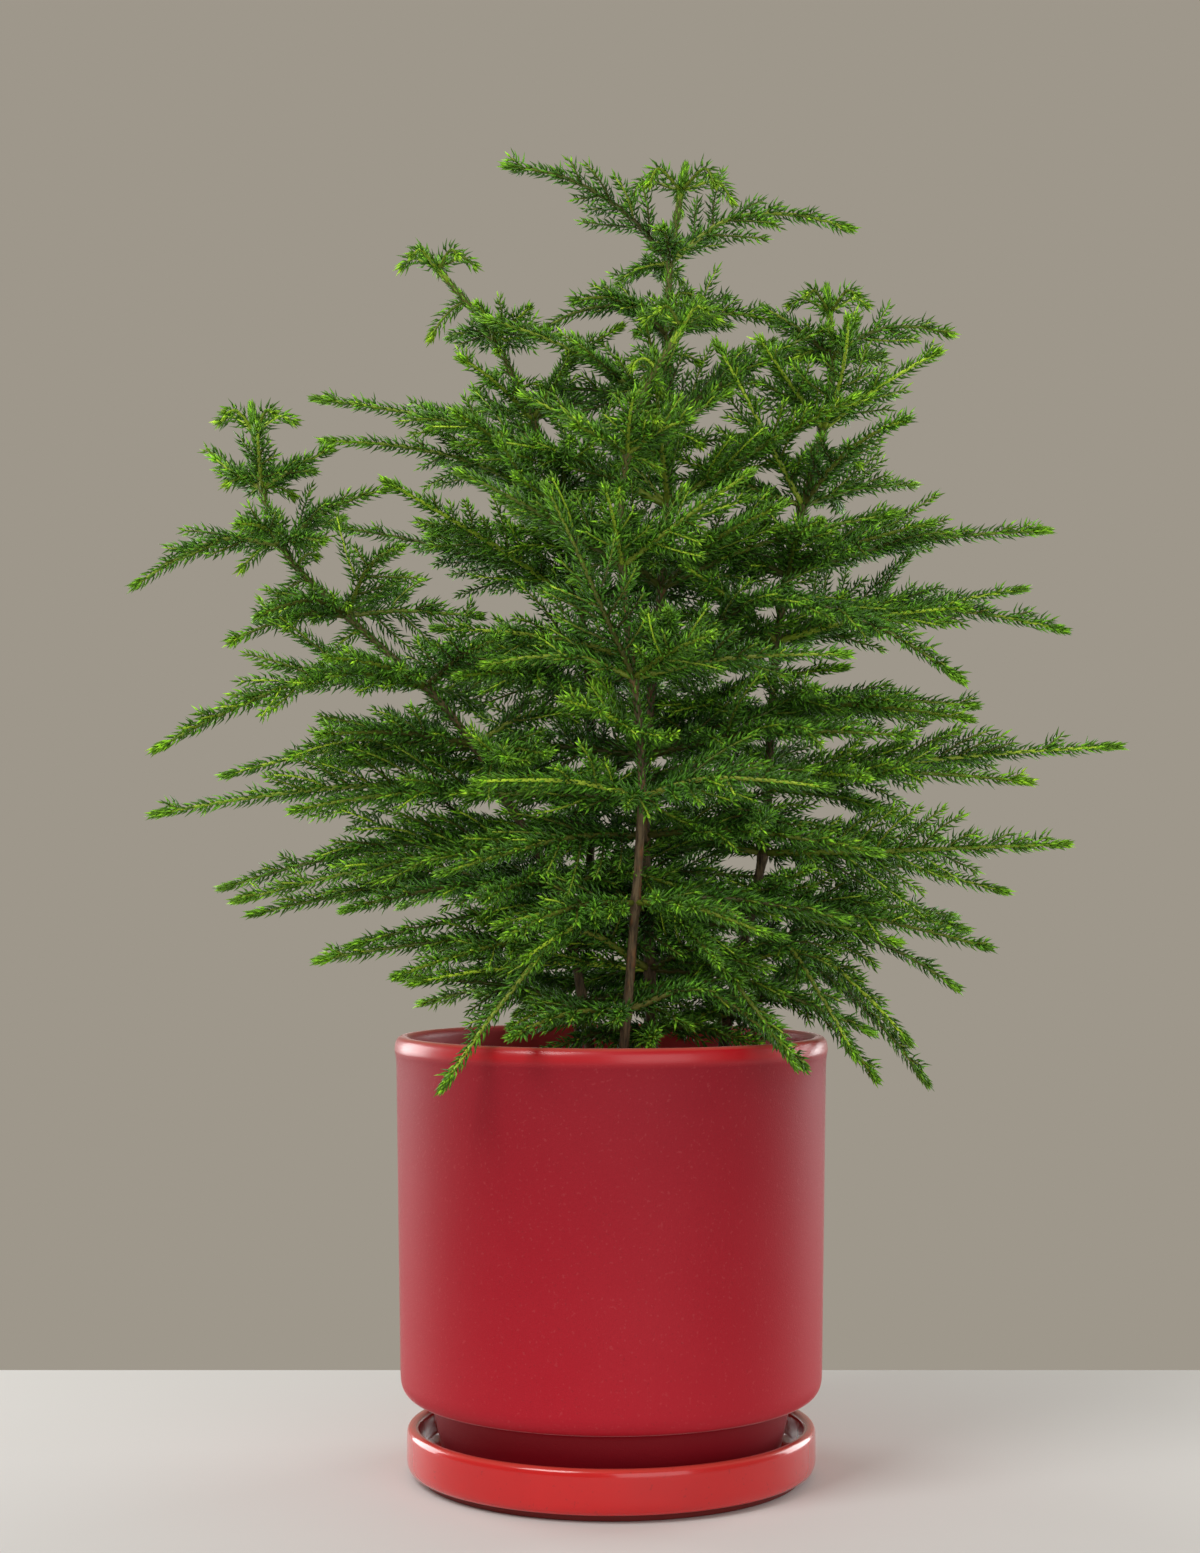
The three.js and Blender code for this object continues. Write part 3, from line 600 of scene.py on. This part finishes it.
class Growth:
    """The meshes of one whorl or shoot as they are grown: points, faces and marks."""

    def __init__(self, seed, settings):
        self.random = np.random.default_rng(seed)
        self.settings = settings
        self.points, self.faces, self.marks = [], [], []
        self.total = 0

    def keep(self, points, faces, youth, wood, chance):
        """Adds a batch: points is (pieces, corners, 3), and each mark is one row for each
        piece, either one number or one for each corner."""
        flat = points.reshape(-1, 3)
        self.points.append(flat)
        self.faces.append(faces + self.total)
        self.total += len(flat)
        shape = points.shape[:2]
        rows = [np.broadcast_to(mark, shape).ravel() for mark in (youth, wood, chance)]
        self.marks.append(np.stack(rows, axis=1))

    def twigs(self, paths, radius, tip_radius, youth, sides=3):
        """Tapered twigs along (twigs, points, 3) paths, with youth given at each point."""
        shares = np.linspace(0, 1, paths.shape[1])
        radii = radius[:, None] * (1 - shares) + tip_radius * shares
        points, faces = tube(paths, radii, sides)
        shade = np.concatenate([np.repeat(youth, sides, axis=1), youth[:, [0, -1]]], axis=1)
        self.keep(points, faces, shade, 1.0, self.random.random((len(paths), 1)))

    def needles(self, paths, youth, start=0.0, size=1.0, density=1.0, spread=1.0):
        """Curved needles set all round (twigs, points, 3) paths in a golden-angle spiral.
        A needle is a closed spindle: a pole inside the twig, three corners at its widest
        place and a pole at its tip. It leaves the twig at about 62 degrees and its outer
        part leans to 34, and both close up towards the twig's end."""
        random, settings = self.random, self.settings
        steps = np.diff(paths, axis=1)
        reach = np.linalg.norm(steps, axis=2).sum(axis=1)
        wanted = reach * (1 - start) * settings.needle_density * density
        count = np.maximum(wanted.astype(int), LEAST_NEEDLES)
        twig = np.repeat(np.arange(len(paths)), count)
        order = np.arange(len(twig)) - np.repeat(np.cumsum(count) - count, count)
        many = len(twig)
        share = start + (1 - start) * (order + random.random(many)) / count[twig]
        i, u = step_at(share * (paths.shape[1] - 1), paths.shape[1])
        base = paths[twig, i] + steps[twig, i] * u
        along = unit(steps[twig, i])
        side = unit(np.cross(along, OFF_TWIG))
        over = np.cross(along, side)
        turn = (order * GOLDEN_TURN + random.random(len(paths))[twig] * ANY_TURN)[:, None]
        out = np.cos(turn) * side + np.sin(turn) * over
        closing = 1 - CLOSING * share**8
        first = np.radians(random.normal(*LOWER_LEAN, many) * closing * spread)[:, None]
        second = np.radians(random.normal(*UPPER_LEAN, many) * closing * spread)[:, None]
        lower = np.cos(first) * along + np.sin(first) * out
        upper = np.cos(second) * along + np.sin(second) * out
        length = settings.needle_length * size * random.uniform(*NEEDLE_LENGTHS, many)
        length = (length * (1 - SHORTENING * share**3))[:, None]
        belly = base + lower * length * BELLY
        tip = belly + upper * length * (1 - BELLY)
        across = unit(np.cross(lower, along))
        up = np.cross(lower, across)
        width = settings.needle_width / 2 * random.uniform(*NEEDLE_WIDTHS, many)[:, None]
        corner = [
            belly + width * (math.cos(angle) * across + math.sin(angle) * up)
            for angle in (0, 2 * math.pi / 3, 4 * math.pi / 3)
        ]
        points = np.stack([base, *corner, tip], axis=1)
        pattern = np.array([[1, 2, 4], [2, 3, 4], [3, 1, 4], [2, 1, 0], [3, 2, 0], [1, 3, 0]])
        faces = (np.arange(many)[:, None, None] * 5 + pattern).reshape(-1, 3)
        rows = youth[twig, i] * (1 - u[:, 0]) + youth[twig, i + 1] * u[:, 0]
        self.keep(points, faces, rows[:, None], 0.0, random.random((many, 1)))

    def branchlets(self, path, shares, sizes, hand, tilt, youth):
        """A row of branchlets on one side of a branch, hand -1 or 1. Each leaves at 60
        degrees near the trunk and 42 near the tip and curves forward, and its end droops
        or lifts with the square of the distance along it."""
        random, settings = self.random, self.settings
        many = len(shares)
        along, flat, over = path_frame(path, tilt)
        i, u = step_at(shares * (len(path) - 1), len(path))
        base = path[i] * (1 - u) + path[i + 1] * u
        lean = LEAN[0] - LEAN[1] * shares + random.normal(0, LEAN[2], many)
        lean = np.radians(lean)[:, None]
        lift = random.normal(LIFT[0] + LIFT[1] * youth, LIFT[2], many)[:, None]
        heading = np.cos(lean) * along[i] + hand * np.sin(lean) * flat[i] + lift * over[i]
        rising = random.normal(DROOP[1] * youth + DROOP[0], DROOP[2], many)[:, None]
        forward = FORWARD * along[i] + rising * UP
        steps = np.linspace(0, 1, 6)[None, :, None]
        reach = sizes[:, None, None] * (steps * heading[:, None] + steps**2 * forward[:, None])
        paths = base[:, None] + reach
        grown = youth + 0.2 * shares[:, None] ** 2 + 0.5 * steps[:, :, 0] ** 4
        grown = grown + random.normal(0, 0.06, (many, 1))
        thick = 0.0006 + 0.00025 * sizes / settings.branchlet_length
        self.twigs(paths, thick, 0.00045, grown)
        self.needles(paths, grown, start=0.04, size=0.94)

    def spray(self, line, vigour, youth):
        """One branch as a flat spray: two rows of branchlets, longest a third of the way
        out and ending where the free end starts. On the free end stands a stub here and
        there, and it ends in a brush of new needles."""
        random, settings = self.random, self.settings
        path = smooth_path(line, 40)
        length = np.linalg.norm(np.diff(path, axis=0), axis=1).sum()
        path = smooth_path(path[: max(4, int(40 * (1 - TIP_ROOM / length)))], PATH_POINTS)
        tilt = random.normal(0, 0.5)
        bare = min(BARE[0] * length, BARE[1])
        free = min(settings.free_end * random.uniform(*FREE_ENDS), FREE_MOST * length)
        leafy = length - bare - free
        rows = max(2, int(leafy / settings.branchlet_spacing))
        longest = min(ROW_LONGEST * length, settings.branchlet_length) * vigour
        start, peak, loss = ROW_SHAPE
        for hand in (-1, 1):
            shift = 0.5 * (hand > 0) + random.uniform(0.2, 0.5, rows)
            out = (np.arange(rows) + shift) / rows
            growing = np.clip(out / peak, 0, 1)
            ending = np.clip((out - peak) / (1 - peak), 0, 1)
            sizes = (start + (1 - start) * growing) * (1 - loss * ending**1.2)
            sizes = longest * sizes * random.uniform(0.78, 1.1, rows)
            self.branchlets(path, (bare + out * leafy) / length, sizes, hand, tilt, youth)
            stubs = np.arange(0.1, 0.85, STUB_SPACING / free) + random.uniform(0, 0.1)
            stubs = stubs[random.random(len(stubs)) < STUB_CHANCE]
            if len(stubs):
                sizes = random.uniform(*STUB_LENGTHS, len(stubs)) * (1 - 0.4 * stubs)
                shares = 1 - free / length * (1 - stubs)
                self.branchlets(path, shares, sizes, hand, tilt + hand * 0.6, youth)
        self.rope(path, 0.001 + 0.0055 * length, youth, bare / length * 0.4)

    def rope(self, path, radius, youth, start=0.0):
        """A twig set with needles, brighter towards its end, and its brush of new needles."""
        path, shares = path[None], np.linspace(0, 1, len(path))[None]
        grown = youth + 0.22 * shares**2 + 0.4 * shares**9
        self.twigs(path, np.array([radius]), 0.0006, grown, sides=6)
        self.needles(path, grown, start=start, size=1.04, density=1.05)
        brush = path[:, -BRUSH_POINTS:]
        new = np.full((1, BRUSH_POINTS), youth + 0.5)
        self.needles(brush, new, size=0.7, density=2.6, spread=0.62)

    def side_shoots(self, path, many):
        """Short shoots up a young trunk in a golden-angle spiral, longest at the foot. Each
        rises, arches over and droops with the square of the distance along it."""
        random = self.random
        shares = (np.arange(many) + random.uniform(0.2, 0.8, many)) / many
        for number, share in enumerate(shares):
            i = int(share * (len(path) - 2))
            along = unit(path[i + 1] - path[i])
            side = unit(np.cross(along, np.array([0.0, 1.0, 0.0])))
            turn = number * GOLDEN_TURN + random.normal(0, 0.3)
            out = math.cos(turn) * side + math.sin(turn) * np.cross(along, side)
            steps = np.linspace(0, 1, 14)[:, None]
            reach = random.uniform(*SHOOT_REACH) * (1 - 0.3 * share)
            drop = random.uniform(*SHOOT_DROOP) * UP
            shoot = path[i] + reach * (steps * (out + 0.5 * along) - steps**2 * drop)
            self.rope(shoot, 0.0008, 0.3 + 0.2 * share)

    def piece(self, name, node, material):
        """Puts the node's foliage in its place, with everything grown so far."""
        marks = np.vstack(self.marks)
        named = {"youth": marks[:, 0], "wood": marks[:, 1], "chance": marks[:, 2]}
        points, faces = np.vstack(self.points), np.vstack(self.faces)
        add_piece(name, points, faces, material, node, named)


def add_mesh(name, points, faces, material, marks=None):
    """An object from (points, 3) places and (faces, 3) corners, with marks at its points."""
    mesh = bpy.data.meshes.new(name)
    mesh.vertices.add(len(points))
    mesh.vertices.foreach_set("co", np.ascontiguousarray(points, np.float32).ravel())
    mesh.loops.add(faces.size)
    mesh.loops.foreach_set("vertex_index", np.ascontiguousarray(faces, np.int32).ravel())
    mesh.polygons.add(len(faces))
    mesh.polygons.foreach_set("loop_start", np.arange(0, faces.size, 3, dtype=np.int32))
    for mark, values in (marks or {}).items():
        layer = mesh.attributes.new(mark, "FLOAT", "POINT")
        layer.data.foreach_set("value", np.ascontiguousarray(values, np.float32))
    mesh.update(calc_edges=True)
    mesh.shade_smooth()
    mesh.materials.append(material)
    thing = bpy.data.objects.new(name, mesh)
    bpy.context.scene.collection.objects.link(thing)
    return thing


def add_piece(name, points, faces, material, node, marks=None, body="potted_plant"):
    """A visible piece that stands for a node of the frame and rides on its body."""
    piece = add_mesh(name, points, faces, material, marks)
    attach(piece, body)
    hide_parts(node)


def whorl_nodes(tree):
    """The tree's whorls from the lowest up."""
    names = [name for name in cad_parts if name.startswith(f"whorl_{tree}_")]
    return sorted(names, key=lambda name: int(name.rsplit("_", 1)[1]))


# ---- ware


def arc(start, corner, end, steps):
    """A quadratic curve from start to end, bulging towards the corner."""
    t = np.linspace(0, 1, steps + 1)[:, None]
    start, corner, end = (np.array(point) for point in (start, corner, end))
    return (1 - t) ** 2 * start + 2 * t * (1 - t) * corner + t**2 * end


def saucer_profile(ware):
    """Up the outside from the foot, over the round rim and down to the floor inside."""
    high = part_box("saucer")[1]
    radius, top = high[0], high[2]
    inner, floor = radius - ware.saucer_wall, ware.saucer_floor
    foot = radius - 0.0063
    sill = floor + 0.006
    curves = [
        [(0, 0), (foot - 0.0006, 0)],
        arc((foot, 0.0004), (foot + 0.0003, 0.0012), (foot + 0.0006, 0.0028), 4),
        arc((foot + 0.003, 0.0034), (radius, 0.0036), (radius, 0.0095), 10),
        arc((radius, top - 0.0042), (radius, top), (radius - 0.003, top), 10),
        arc((radius - 0.0034, top), (inner, top), (inner - 0.0001, top - 0.0035), 8),
        arc((inner - 0.0008, sill), (inner - 0.0014, floor), (inner - 0.009, floor), 10),
        [(0, floor)],
    ]
    return np.vstack(curves)


def pot_profile(ware):
    """Round the whole section: under the foot, up the outside, over the lip, down the
    inside and back to the drain hole."""
    low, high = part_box("pot")
    radius, top, seat = high[0], high[2], low[2]
    waist, belly, base = radius - 0.0035, radius - 0.0009, ware.foot_height
    foot_top, foot = ware.foot_top_radius, ware.foot_radius
    inner = belly - ware.wall
    inner_low = waist - ware.wall
    floor, shoulder, drain = seat + 0.0077, 0.041, ware.drain_radius
    well, well_top = foot - 0.008, foot_top - 0.008
    neck, bulge = belly + 0.0001, belly + 0.0003
    soffit, ledge = foot_top + 0.003, well_top + 0.005
    curves = [
        [(drain, seat), (foot - 0.001, seat)],
        arc((foot - 0.0008, seat), (foot, seat), (foot + 0.0001, seat + 0.0008), 4),
        arc((foot_top - 0.0006, base - 0.003), (foot_top, base), (soffit, base + 0.0004), 6),
        arc((waist - 0.01, base + 0.0006), (waist, base + 0.001), (waist, base + 0.0115), 14),
        np.linspace((waist + 0.0001, base + 0.014), (belly, top - 0.0135), 24),
        arc((neck, top - 0.0125), (bulge, top - 0.009), (radius, top - 0.007), 8),
        arc((radius, top - 0.0062), (radius - 0.0001, top), (radius - 0.0042, top), 14),
        arc((radius - 0.0045, top), (inner, top), (inner - 0.0001, top - 0.0042), 8),
        np.linspace((inner - 0.0001, top - 0.008), (inner_low, shoulder + 0.012), 12),
        arc((inner_low, shoulder + 0.009), (inner_low, shoulder), (ledge, shoulder), 8),
        arc((well_top + 0.003, shoulder), (well_top, shoulder), (well_top, shoulder - 0.003), 4),
        arc((well + 0.001, floor + 0.005), (well, floor), (well - 0.006, floor), 6),
        [(drain + 0.001, floor)],
        arc((drain + 0.0008, floor), (drain, floor), (drain, floor - 0.0008), 3),
        [(drain, seat)],
    ]
    return np.vstack(curves)


def potting_mix(random):
    """A crowned bed, radius by turn, whose top is raised by a sum of seeded waves, with the
    sides and underside of the frame's solid, and closed at a pole above and below. Its
    radius and the heights of its edge and crown go with it."""
    low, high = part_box("potting_soil")
    outline = corners("potting_soil")
    edge_radius = high[0] - HIDDEN_ROOM
    rim = outline[np.hypot(outline[:, 0], outline[:, 1]) > high[0] - 0.002][:, 2]
    edge, crown, base = rim.max(), high[2], low[2]
    rings, sides = 90, 200
    share = np.linspace(0, 1, rings)
    top = np.stack([edge_radius * share, crown - (crown - edge) * share**2], axis=1)
    slope = (edge_radius * 0.86, base + 0.006)
    lower = [(edge_radius, rim.min()), slope, (0.077, base), (0, base)]
    points, faces = turned(np.vstack([top, lower])[::-1], sides)
    points = points.reshape(-1, sides, 3)
    surface = points[-rings:]
    waves = random.uniform(90, 900, (40, 1, 1))
    heading = random.uniform(0, ANY_TURN, (40, 1, 1))
    ripple = surface[None, :, :, 0] * np.cos(heading) + surface[None, :, :, 1] * np.sin(heading)
    lumps = (np.sin(ripple * waves + heading * 7) / waves**0.8).sum(axis=0)
    surface[:, :, 2] += 0.02 * lumps * np.clip((1 - share[::-1, None]) * 12, 0, 1)
    return points.reshape(-1, 3), faces, (edge_radius, edge, crown)


def chips(random, many, bed):
    """Flat crumbs and bits of bark lying about on the bed: each is an eight-sided lump,
    six corners on a squashed ball, moved about at random."""
    radius, edge, crown = bed
    shape = np.array([[1, 0, 0], [0, 1, 0], [-1, 0, 0], [0, -1, 0], [0, 0, 1], [0, 0, -1.0]])
    upper = [[0, 1, 4], [1, 2, 4], [2, 3, 4], [3, 0, 4]]
    lower = [[1, 0, 5], [2, 1, 5], [3, 2, 5], [0, 3, 5]]
    pattern = np.array(upper + lower)
    spread = radius * np.sqrt(random.random(many)) * 0.985
    turn = random.uniform(0, 2 * math.pi, many)
    size = random.uniform(0.0008, 0.0034, (many, 1, 1)) * random.uniform(0.5, 1.3, (many, 1, 3))
    size[:, :, 2] *= 0.55
    points = shape * size * random.uniform(0.75, 1.25, (many, 6, 1))
    spin = random.uniform(0, 2 * math.pi, (many, 1))
    x = points[:, :, 0] * np.cos(spin) - points[:, :, 1] * np.sin(spin)
    y = points[:, :, 0] * np.sin(spin) + points[:, :, 1] * np.cos(spin)
    tilt = random.normal(0, 0.3, (many, 1))
    z = points[:, :, 2] + x * tilt
    height = crown - (crown - edge) * (spread / radius) ** 2
    middle = np.stack([spread * np.cos(turn), spread * np.sin(turn), height], axis=1)
    faces = (np.arange(many)[:, None, None] * 6 + pattern).reshape(-1, 3)
    bit = np.repeat((random.random(many) > 0.62) * random.random(many), 6)
    return (np.stack([x, y, z], axis=2) + middle[:, None]).reshape(-1, 3), faces, bit


# ---- operators


class StageOperator(bpy.types.Operator):
    """Lay the table, light it and set up the camera"""

    bl_idname = "potted_pine.stage"
    bl_label = "Stage"

    def execute(self, context):
        stage = context.scene.pine_stage
        scene = context.scene
        near, far, wide, thick = -2.6, 0.245, 2.6, 0.04
        x, y, z = np.meshgrid([-wide, wide], [near, far], [-thick, 0], indexing="ij")
        points = np.stack([x, y, z], axis=-1).reshape(-1, 3)
        ends = [[0, 1, 3, 2], [4, 6, 7, 5]]
        sides = [[0, 4, 5, 1], [2, 3, 7, 6], [0, 2, 6, 4], [1, 5, 7, 3]]
        quads = np.array(ends + sides)
        faces = np.vstack([quads[:, [0, 1, 2]], quads[:, [0, 2, 3]]])
        table = add_mesh("table", points, faces, table_paint(stage))
        table.data.shade_flat()
        self.lamp("key_light", (-1.15, -1.2, 2.0), 1.1, stage.key_power, (1.0, 0.985, 0.97))
        self.lamp("fill_light", (0.7, -1.7, 0.75), 1.4, stage.fill_power, (0.97, 0.98, 1.0))
        self.lamp("left_light", (-1.25, 0.9, 0.4), 0.9, stage.side_power, (1.0, 1.0, 1.0))
        self.lamp("right_light", (1.25, 0.9, 0.4), 0.9, stage.side_power, (1.0, 1.0, 1.0))
        world = bpy.data.worlds.new("soft_room")
        world.use_nodes = True
        world.node_tree.nodes["Background"].inputs["Color"].default_value = (*stage.wall, 1)
        scene.world = world
        scene.view_settings.view_transform = "Standard"
        camera = bpy.data.objects.new("camera", bpy.data.cameras.new("camera"))
        camera.data.lens = 55.4
        camera.location = (-0.0054, -1.168, 0.28)
        camera.rotation_euler = (math.radians(92.74), 0, 0)
        scene.collection.objects.link(camera)
        scene.camera = camera
        return {"FINISHED"}

    def lamp(self, name, place, size, power, colour):
        """A square soft light that faces the middle of the plant."""
        lamp = bpy.data.lights.new(name, "AREA")
        lamp.size, lamp.energy, lamp.color = size, power, colour
        thing = bpy.data.objects.new(name, lamp)
        aim = np.array([0, 0, 0.3]) - np.array(place)
        thing.location = place
        turn = math.atan2(aim[0], -aim[1])
        tilt = math.atan2(math.hypot(aim[0], aim[1]), -aim[2])
        thing.rotation_euler = (tilt, 0, math.pi + turn)
        bpy.context.scene.collection.objects.link(thing)


class SaucerOperator(bpy.types.Operator):
    """Turn the glazed saucer"""

    bl_idname = "potted_pine.saucer"
    bl_label = "Saucer"

    def execute(self, context):
        ware = context.scene.pine_ware
        points, faces = turned(saucer_profile(ware), 240)
        paint = saucer_paint(ware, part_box("saucer")[1][2])
        add_piece("glazed_saucer", points, faces, paint, "saucer", body="saucer")
        return {"FINISHED"}


class PotOperator(bpy.types.Operator):
    """Turn the ceramic pot"""

    bl_idname = "potted_pine.pot"
    bl_label = "Pot"

    def execute(self, context):
        ware = context.scene.pine_ware
        points, faces = turned(pot_profile(ware), 192)
        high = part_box("pot")[1]
        paint = pot_paint(ware, high[2], high[0] - 0.006)
        add_piece("ceramic_pot", points, faces, paint, "pot")
        return {"FINISHED"}


class FillOperator(bpy.types.Operator):
    """Fill the pot with drainage stone and potting mix"""

    bl_idname = "potted_pine.fill"
    bl_label = "Potting mix"

    def execute(self, context):
        ware = context.scene.pine_ware
        random = np.random.default_rng(11)
        mix, faces, bed = potting_mix(random)
        lumps, lump_faces, bit = chips(random, 1500, bed)
        points = np.vstack([mix, lumps])
        faces = np.vstack([faces, lump_faces + len(mix)])
        marks = {"bit": np.concatenate([np.zeros(len(mix)), bit])}
        add_piece("potting_mix", points, faces, soil_paint(ware), "potting_soil", marks)
        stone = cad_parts["drainage_stone"]
        stone.material_slots[0].material = stone_paint()
        return {"FINISHED"}


class TrunksOperator(bpy.types.Operator):
    """Grow the trunks with their bark"""

    bl_idname = "potted_pine.trunks"
    bl_label = "Trunks"

    def execute(self, context):
        material = bark_paint(context.scene.pine_trees)
        for number, tree in enumerate(TREES):
            random = np.random.default_rng(300 + number)
            path = smooth_path(trunk_line(tree), 260)
            share = np.linspace(0, 1, len(path))
            first, last = (
                np.linalg.norm(ring - middle, axis=1).max()
                for ring, middle in zip(trunk_ends(tree), (path[0], path[-1]))
            )
            radii = first + (last - first) * share
            for node in whorl_nodes(tree):
                hub = branch_lines(node, path)[:, 0].mean(axis=0)
                away = np.linalg.norm(path - hub, axis=1)
                radii = radii + SWELLING * np.exp(-((away / SWELLING_REACH) ** 2))
            points, faces = tube(path[None], radii[None], TRUNK_SIDES)
            ring = points[0, :-2].reshape(len(path), TRUNK_SIDES, 3)
            turn = np.linspace(0, 2 * math.pi, TRUNK_SIDES, endpoint=False)
            along = share[:, None]
            ridge = np.sin(turn * 5 + along * 30) + 0.7 * np.sin(turn * 8 - along * 55)
            ridge = ridge * 0.05 + random.normal(0, 0.035, ridge.shape)
            ring += (ring - path[:, None]) * ridge[:, :, None]
            marks = {"youth": np.concatenate([np.repeat(share, TRUNK_SIDES), [0, 1]])}
            node = f"trunk_{tree}"
            add_piece(f"stem_{tree}", points[0], faces, material, node, marks)
        return {"FINISHED"}


class BoughsOperator(bpy.types.Operator):
    """Grow every whorl of branches with its needles"""

    bl_idname = "potted_pine.boughs"
    bl_label = "Boughs"

    def execute(self, context):
        trees = context.scene.pine_trees
        material = foliage_paint(trees)
        for number, tree in enumerate(TREES):
            path = smooth_path(trunk_line(tree), LINE_POINTS)
            nodes = whorl_nodes(tree)
            for place, node in enumerate(nodes):
                growth = Growth(1000 * number + place, trees)
                youth = 0.13 + 0.12 * place / len(nodes)
                fullness = min(1, 0.7 + 0.08 * place)
                for line in branch_lines(node, path):
                    own = youth + growth.random.normal(0, 0.07)
                    growth.spray(line, fullness * growth.random.uniform(0.88, 1.08), own)
                growth.piece(f"bough_{tree}_{place + 1}", node, material)
        return {"FINISHED"}


class LeadersOperator(bpy.types.Operator):
    """Grow each tree's leading shoot and the needles on its young trunk"""

    bl_idname = "potted_pine.leaders"
    bl_label = "Leading shoots"

    def execute(self, context):
        trees = context.scene.pine_trees
        material = bpy.data.materials["pine_foliage"]
        for number, tree in enumerate(TREES):
            path = smooth_path(trunk_line(tree), LINE_POINTS)
            heading = top_heading(tree)
            hub = path[-1] + heading * HUB_HEIGHT
            tip = path[-1] + heading * np.linspace(0, 0.016, 24)[1:, None]
            growth = Growth(500 + number, trees)
            for line in branch_lines(f"leader_{tree}", path, hub):
                growth.rope(smooth_path(line, 20), 0.0009, 0.42)
            bud = np.vstack([path[-1] - heading * 0.004, tip])[None]
            grown = np.full((1, bud.shape[1]), 0.7)
            growth.twigs(bud, np.array([0.0016]), 0.0005, grown, sides=6)
            growth.needles(bud, grown, size=0.8, density=3.2, spread=0.6)
            upper = path[None, NEEDLES_FROM:]
            grown = np.linspace(0.1, 0.6, upper.shape[1])[None]
            growth.needles(upper, grown, size=0.95, density=1.3)
            growth.side_shoots(path[SHOOTS[1] : SHOOTS[2]], SHOOTS[0])
            growth.piece(f"leading_shoot_{tree}", f"leader_{tree}", material)
        return {"FINISHED"}


class PinePanel(bpy.types.Panel):
    """Builds the potted pine piece by piece"""

    bl_idname = "VIEW3D_PT_potted_pine"
    bl_label = "Potted Pine"
    bl_space_type = "VIEW_3D"
    bl_region_type = "UI"
    bl_category = "Potted Pine"

    def draw(self, context):
        for operator in OPERATORS:
            self.layout.operator(operator.bl_idname)
        for name in SETTINGS:
            group = getattr(context.scene, name)
            for item in group.bl_rna.properties:
                if not item.is_readonly and item.identifier != "name":
                    self.layout.prop(group, item.identifier)


SETTINGS = {"pine_trees": PineSettings, "pine_ware": WareSettings, "pine_stage": StageSettings}
OPERATORS = (
    StageOperator,
    SaucerOperator,
    PotOperator,
    FillOperator,
    TrunksOperator,
    BoughsOperator,
    LeadersOperator,
)


def register():
    for group in (*SETTINGS.values(), *OPERATORS, PinePanel):
        bpy.utils.register_class(group)
    for name, group in SETTINGS.items():
        setattr(bpy.types.Scene, name, bpy.props.PointerProperty(type=group))


def unregister():
    for name in SETTINGS:
        delattr(bpy.types.Scene, name)
    for group in (PinePanel, *reversed(OPERATORS), *SETTINGS.values()):
        bpy.utils.unregister_class(group)


def main():
    register()
    for operator in OPERATORS:
        family, name = operator.bl_idname.split(".")
        getattr(getattr(bpy.ops, family), name)()


if __name__ == "__main__":
    main()
